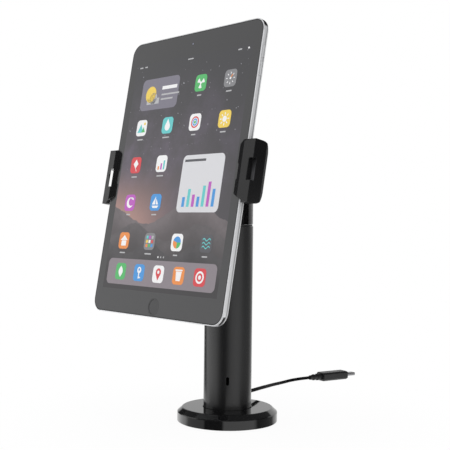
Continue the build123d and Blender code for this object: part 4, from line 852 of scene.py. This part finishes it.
# %% Signs
def sign_shapes(ink):
    """Every sign, about a centimetre across, as a list of outlines with their colours."""
    eighths = [pi / 4 * step for step in range(8)]
    ticks = [bar(1.6, 0.7, (4.3 * cos(turn), 4.3 * sin(turn)), degrees(turn)) for turn in eighths]
    rays = [bar(2.0, 0.9, (4.4 * cos(turn), 4.4 * sin(turn)), degrees(turn)) for turn in eighths]
    moon = between_arcs(disc(4.6, (0, 0), 20, 0.08, 0.84), disc(3.7, (1.9, 0.9), 20, 0.1, 0.80))
    grid_tints = (orange, green, blue, yellow, white, red, teal, violet, pale)
    waves = []
    for level in (-2.6, 0.4, 3.4):
        crest = [(x / 2 - 4.8, level + 0.9 * sin(x / 2)) for x in range(20)]
        waves.append(crest[::-1] + [(x, y - 0.9) for x, y in crest])
    leaf_side = [(3.0 * sin(pi * step / 10), -4.8 + 9.6 * step / 10) for step in range(11)]
    return {
        "fan": [(disc(4.6, (0, 0), 8, turn / 3, 0.14), ink) for turn in range(3)]
        + [(disc(1.1), ink)],
        "dial": [(tick, white) for tick in ticks]
        + [(bar(4.4, 0.9, (0.9, 1.2), 52), orange), (disc(1.0), white)],
        "hill": [
            ([(-5.4, -4.0), (-1.2, 3.6), (3.0, -4.0)], teal),
            ([(0.2, -4.0), (2.8, 0.8), (5.4, -4.0)], green), (disc(1.3, (3.8, 3.6)), yellow),
        ],
        "drop": [(disc(3.4, (0, -1.2)), ink), ([(-3.0, 0.4), (3.0, 0.4), (0, 5.6)], ink)],
        "rings": [
            (disc(4.9), red), (disc(3.7), white), (disc(3.1), blue), (disc(1.9), white),
            (disc(1.3), green),
        ],
        "sun": [(disc(2.5), white)] + [(ray, white) for ray in rays],
        "kite": [
            ([(0, 5.0), (-3.4, 1.0), (0, -3.0), (3.4, 1.0)], ink),
            (bar(0.6, 3.0, (1.0, -4.2), 30), ink),
        ],
        "bars": [
            (bar(2.0, 3.0 + 2.4 * step, (-3.6 + 3.6 * step, -3.6 + 1.2 * step)), tint)
            for step, tint in enumerate((orange, violet, teal))
        ],
        "moon": [(moon, ink)],
        "sail": [
            ([(-0.4, 5.0), (-4.6, -1.8), (-0.4, -1.8)], ink),
            ([(0.6, 3.2), (0.6, -1.8), (3.8, -1.8)], ink),
            ([(-4.6, -2.8), (-3.0, -4.8), (2.8, -4.8), (4.6, -2.8)], ink),
        ],
        "house": [([(-5.0, 0.4), (5.0, 0.4), (0, 4.8)], ink), (bar(6.6, 4.4, (0, -2.2)), ink)],
        "grid": [
            (bar(2.5, 2.5, (3.5 * (cell % 3 - 1), 3.5 * (cell // 3 - 1))), tint)
            for cell, tint in enumerate(grid_tints)
        ],
        "pie": [
            (disc(4.9, (0, 0), 16, start, share), tint)
            for start, share, tint in ((0.0, 0.45, blue), (0.45, 0.3, orange), (0.75, 0.25, green))
        ],
        "wave": [(wave, teal) for wave in waves],
        "leaf": [(leaf_side + [(-x, y) for x, y in leaf_side[-2:0:-1]], ink)],
        "key": [
            (disc(2.7, (0, 2.2)), ink), (disc(1.1, (0, 2.6)), blue),
            (bar(1.4, 5.4, (0, -2.2)), ink), (bar(2.2, 1.1, (1.4, -4.0)), ink),
        ],
        "pin": [
            (disc(3.4, (0, 1.4)), red), ([(-2.9, 0.0), (0, -5.4), (2.9, 0.0)], red),
            (disc(1.4, (0, 1.6)), white),
        ],
        "cup": [
            ([(-3.6, 3.4), (-2.6, -4.2), (2.6, -4.2), (3.6, 3.4)], ink),
            (bar(8.6, 1.2, (0, 4.4)), ink),
        ],
        "target": [(disc(4.9), white), (disc(3.3), red), (disc(1.7), white)],
    }


print("there are", len(sign_shapes(white)), "signs to choose from")

# %% Cards, signs and a small chart
card_top, chart_top = 0.045, 0.075
sign_foot, sign_top, sign_step = 0.10, 0.13, 0.012
cards = Plates("picture_cards")
for middle, size, tint in (
    ((-36.0, 70.5), (51.0, 28.0), (0.17, 0.16, 0.20)),
    ((36.0, -10.0), (51.0, 47.0), (0.62, 0.62, 0.64)),
    ((0.0, dock_up), (142.0, 22.0), (0.22, 0.19, 0.21)),
):
    cards.add(moved(round_box(*size, 4.5), *middle), tint, 0.0, card_top)
cards.build()

signs = Plates("picture_signs")
for across, up, tint, kind in signed_tiles:
    for layer, (outline, ink) in enumerate(sign_shapes(slate if tint == white else white)[kind]):
        area = sum(a[0] * b[1] - b[0] * a[1] for a, b in zip(outline, outline[1:] + outline[:1]))
        ordered = outline if area > 0 else outline[::-1]
        signs.add(moved(ordered, across, up), ink, sign_foot, sign_top + sign_step * layer)
for outline, ink in (
    (disc(7.2, (-48.0, 70.5)), yellow), (disc(5.2, (-44.0, 66.6)), pale),
    (bar(17, 5.2, (-44.0, 64.2)), pale), (bar(20.0, 3.0, (-23.0, 75.0)), white),
    (bar(24.0, 1.4, (-21.0, 69.0)), pale), (bar(16.0, 1.4, (-25.0, 65.0)), pale),
    (bar(26.0, 2.0, (26.0, 9.0)), slate),
):
    signs.add(outline, ink, card_top, chart_top)
for day in range(7):
    level = 8.0 + 5.0 * sin(day * 1.7) + 1.6 * day
    column = bar(3.4, level, (18.0 + 6.0 * day, -29.0 + level / 2))
    signs.add(column, (blue, teal, violet)[day % 3], card_top, chart_top)
signs.build()

# %% [markdown]
# ## Lens, button ring and joint seal
# The border has a tiny front lens above the picture, and a hairline ring marks the button. A
# plate's outline can't hold a hole, so the ring is two half rings. A thin seal fills the joint
# between pole and head: four circles joined by faces, because a torus would be too round.

# %% Front lens and button ring
lens_up = 109.6
front_lens = Plates("front_lens")
front_lens.add(disc(1.5, (0.0, lens_up)), (0.02, 0.02, 0.025), 0.0, 0.03)
front_lens.add(disc(0.8, (0.0, lens_up), 20), (0.16, 0.17, 0.22), 0.03, 0.05)
front_lens.build()

button_low, button_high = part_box("home_button")
ring_radius = (button_high - button_low).x / 2 / MM + 0.15
button_up = ((button_low + button_high) / 2 - tablet_middle).dot(rising) / MM
button_ring = Plates("button_ring")
for start in (0.0, 0.5):
    outer = disc(ring_radius + 0.55, (0, button_up), 24, start, 0.5)
    inner = disc(ring_radius, (0, button_up), 24, start, 0.5)
    button_ring.add(between_arcs(outer, inner), (0.022, 0.022, 0.023), 0.0, 0.03)
button_ring.build()

# %% Joint seal
low, high = 169.5, 169.82
inside, outside, steps = 18.0, 19.9, 96
circles = ((outside, low), (outside, high), (inside, high), (inside, low))
points, faces = [], []
for radius, height in circles:
    first, second = len(points), (len(points) + steps) % (len(circles) * steps)
    points += [Vector((*place, height)) * MM for place in disc(radius, count=steps)]
    for step in range(steps):
        after = (step + 1) % steps
        faces.append((first + step, first + after, second + after, second + step))
seal = add_object("joint_seal", new_mesh("joint_seal", points, faces))
print("joint seal has", len(faces), "faces")
seal.data.materials.append(plain_rubber.owner)
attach(seal, "base")

# %% [markdown]
# ## Knurled collar
# The lock's collar has a knurled rim to grip. A bump map would do from afar, but its outline
# would stay smooth, so Geometry Nodes sets a small rib on every point of a circle.

# %% Knurl
def knurl_tree():
    tree, add, given = start_tree("knurl_round_a_rim", ("Rib Radius", "Rib Length", "Tilt"))
    radius, length = given["Rib Radius"], given["Rib Length"]
    rib = add("GeometryNodeMeshCylinder", Vertices=8, Radius=radius, Depth=length)
    set_on_points(add, given, rib.outputs["Mesh"])
    return tree


collar_across, collar_up, collar_back, collar_radius = 30.0, -22.8, 37.65, 6.9
rib_count = 36
rib_places = []
for step in range(rib_count):
    angle = 2 * pi * step / rib_count
    across, up = collar_across + collar_radius * cos(angle), collar_up + collar_radius * sin(angle)
    rib_places.append(spot(across, up - tablet_rise, collar_back + 0.5))
knurl = grow("lock_collar_knurl", knurl_tree(), new_mesh("rib_guide", rib_places), {
    "Rib Radius": 0.26 * MM, "Rib Length": 0.8 * MM, "Tilt": pi / 2 - lean,
    "Material": dark_steel.owner,
})
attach(knurl, "holder")

# %% [markdown]
# ## What the stand mirrors
# Polished black shows little but its surroundings, so the bands on the pole and base are white
# cards and black screens round the stand. Panels would do, but the camera would see them too.
# A ramp does the same: its position is the direction, with 0.5 towards the camera, and its
# level is how bright that direction is. One ramp serves the walls, one the far floor and one
# the floor near the base.

# %% Studio pattern
brightest = 1.7
wall_stops = [
    (0.0, 0.66), (0.06, 0.66), (0.072, 0.04), (0.146, 0.04), (0.154, 0.85), (0.284, 1.0),
    (0.297, 0.03), (0.455, 0.03), (0.475, 0.6), (0.69, 0.6), (0.705, 0.02), (0.79, 0.02),
    (0.815, 0.6), (0.88, 1.0), (0.96, 0.75), (1.0, 0.66),
]
far_floor_stops = [
    (0.0, 0.9), (0.06, 0.9), (0.075, 0.12), (0.125, 0.15), (0.16, 1.4), (0.25, 1.65),
    (0.33, 1.35), (0.4, 0.3), (0.44, 0.08), (0.49, 0.3), (0.545, 0.95), (0.62, 1.15),
    (0.66, 1.0), (0.72, 0.5), (0.83, 0.3), (0.9, 0.6), (0.94, 0.9),
]
near_floor_stops = [
    (0.0, 0.9), (0.08, 1.3), (0.18, 1.35), (0.22, 0.5), (0.345, 0.5), (0.358, 0.04),
    (0.466, 0.04), (0.482, 0.9), (0.67, 0.95), (0.69, 0.6), (0.705, 0.12), (0.86, 0.2),
    (0.9, 0.8), (1.0, 0.9),
]


def level_direction(azimuth):
    return Vector((cos(radians(azimuth)), sin(radians(azimuth)), 0))


def studio_level(finish, place, stops, squeeze=1.0):
    """Share of the brightest level that the studio has in the direction of a place."""
    sideways = finish.along(level_direction(camera_azimuth + 90), place=place)
    towards = finish.along(level_direction(camera_azimuth), place=place)
    bearing = sideways.math("ARCTAN2", towards) * squeeze / (2 * pi) + 0.5
    shares = [(position, (level / brightest,) * 3) for position, level in stops]
    ramp = finish.node("ShaderNodeValToRGB", {"stops": shares}, {0: bearing})
    return Signal(finish, ramp.outputs[0])


def ray_kinds(finish):
    """Two signals: 1 for what the camera sees directly, and 1 for what a surface mirrors."""
    rays = finish.node("ShaderNodeLightPath").outputs
    seen = Signal(finish, rays["Is Camera Ray"]).most(Signal(finish, rays["Is Transmission Ray"]))
    return seen, Signal(finish, rays["Is Glossy Ray"])


print("the studio has", len(wall_stops), "stops round its walls")

# %% [markdown]
# ## Floor
# The picture is a cut-out on white, so the floor is pale, fades to plain white for the camera
# and keeps only a soft shadow near the foot. Light alone could make it white, but would turn
# the stand grey. What the base mirrors is the studio's pattern, squeezed near the base.

# %% Floor
base_reach = 43.2
near_end, far_start = 90.0, 200.0
floor_radius, floor_drop, floor_steps = 620, 0.2, 96
floor_edge = [Vector((*place, -floor_drop)) * MM for place in disc(floor_radius, count=floor_steps)]
floor = add_object("studio_floor", new_mesh("studio_floor", floor_edge, [range(floor_steps)]))
ground = Finish("studio_floor")
ground.set(Base_Color=(0.9, 0.9, 0.9), Roughness=0.9, Specular_IOR_Level=0.1)


def card(tint, strength):
    """A surface that only shines."""
    return ground.node("ShaderNodeEmission", None, {"Color": tint, "Strength": strength}).outputs[0]


def blend(share, first, second):
    return ground.node("ShaderNodeMixShader", None, {0: share, 1: first, 2: second}).outputs[0]


seen, mirrored = ray_kinds(ground)
spread = ground.node("ShaderNodeVectorMath", {"operation": "LENGTH"}, {0: ground.place()})
distance = Signal(ground, spread.outputs["Value"]) * (1 / MM)
pale_share = distance.step(60.0, 240.0, 0.95, 1.0)
plain_view = blend(seen * pale_share, ground.shader.outputs[0], card((1, 1, 1), 1.0))
squeeze = distance * 2 / (distance * 2 - base_reach)
far_level = studio_level(ground, ground.place(), far_floor_stops, squeeze)
near_level = studio_level(ground, ground.place(), near_floor_stops, squeeze)
floor_level = near_level + (far_level - near_level) * distance.step(near_end, far_start)
mirror_view = blend(floor_level, card((0, 0, 0), 0.0), card((1, 1, 1), brightest))
surface = ground.tree.nodes["Material Output"].inputs["Surface"]
ground.tree.links.new(blend(mirrored, plain_view, mirror_view), surface)
floor.data.materials.append(ground.owner)
print("floor material has", len(ground.tree.nodes), "nodes")

# %% [markdown]
# ## Surroundings
# One colour for every ray would be simpler, but the world plays three parts. The camera sees
# plain white. Matt surfaces get an even pale light. Glossy ones mirror the studio: its walls
# above the horizon, the far floor below it, and a dark ceiling, which keeps round tops black.

# %% Surroundings
even_light = (0.62, 0.62, 0.63)
ceiling_level, ceiling_from, ceiling_full = 0.06, 0.44, 0.50
world = bpy.data.worlds.new("studio")
scene.world = world
studio = Finish("studio", world)
aim = studio.node("ShaderNodeTexCoord").outputs["Generated"]
steepness = Signal(studio, studio.node("ShaderNodeSeparateXYZ", None, {0: aim}).outputs[2])
upper = studio_level(studio, aim, wall_stops)
lower = studio_level(studio, aim, far_floor_stops)
wall_level = lower + (upper - lower) * steepness.step(0.0, 0.03)
ceiling = steepness.step(ceiling_from, ceiling_full)
level = (wall_level + (ceiling_level - wall_level) * ceiling) * brightest
pattern = studio.node("ShaderNodeCombineColor", None, {0: level, 1: level, 2: level}).outputs[0]
seen, mirrored = ray_kinds(studio)
backdrop = studio.mix(seen, studio.mix(mirrored, even_light, pattern), (1, 1, 1))
background = studio.tree.nodes["Background"]
studio.tree.links.new(backdrop, background.inputs["Color"])
background.inputs["Strength"].default_value = 1.0
print("world has", len(studio.tree.nodes), "nodes")

# %% [markdown]
# ## Lamps
# Three large soft lamps shape the stand: a strong one on the left, a weaker one on the right
# and one above. Small lamps are simpler to place but throw hard shadows. Reflections leave the
# lamps out, because the studio's pattern already gives those.

# %% Lamps
lamp_target = Vector((0, 0, 0.15))


def soft_lamp(name, bearing, rise, distance, size, power):
    """A soft lamp at this bearing from the camera's own direction, aimed at the stand."""
    lamp = bpy.data.lights.new(name, "AREA")
    lamp.shape = "RECTANGLE"
    lamp.size, lamp.size_y = size
    lamp.energy = power
    place = level_direction(camera_azimuth + bearing) * distance + Vector((0, 0, rise))
    aimed = (place - lamp_target).to_track_quat("Z", "Y").to_matrix().to_4x4()
    lamp_object = add_object(name, lamp)
    lamp_object.matrix_world = Matrix.Translation(place) @ aimed
    lamp_object.visible_glossy = False
    print(name, "stands at", [round(value, 2) for value in place])


soft_lamp("left_softbox", bearing=-75, rise=0.8, distance=1.3, size=(0.9, 1.2), power=5.0)
soft_lamp("right_softbox", bearing=45, rise=0.6, distance=1.4, size=(0.7, 1.1), power=2.5)
soft_lamp("top_softbox", bearing=10, rise=1.6, distance=0.3, size=(1.0, 1.0), power=3.0)
scene.view_settings.view_transform = "Standard"
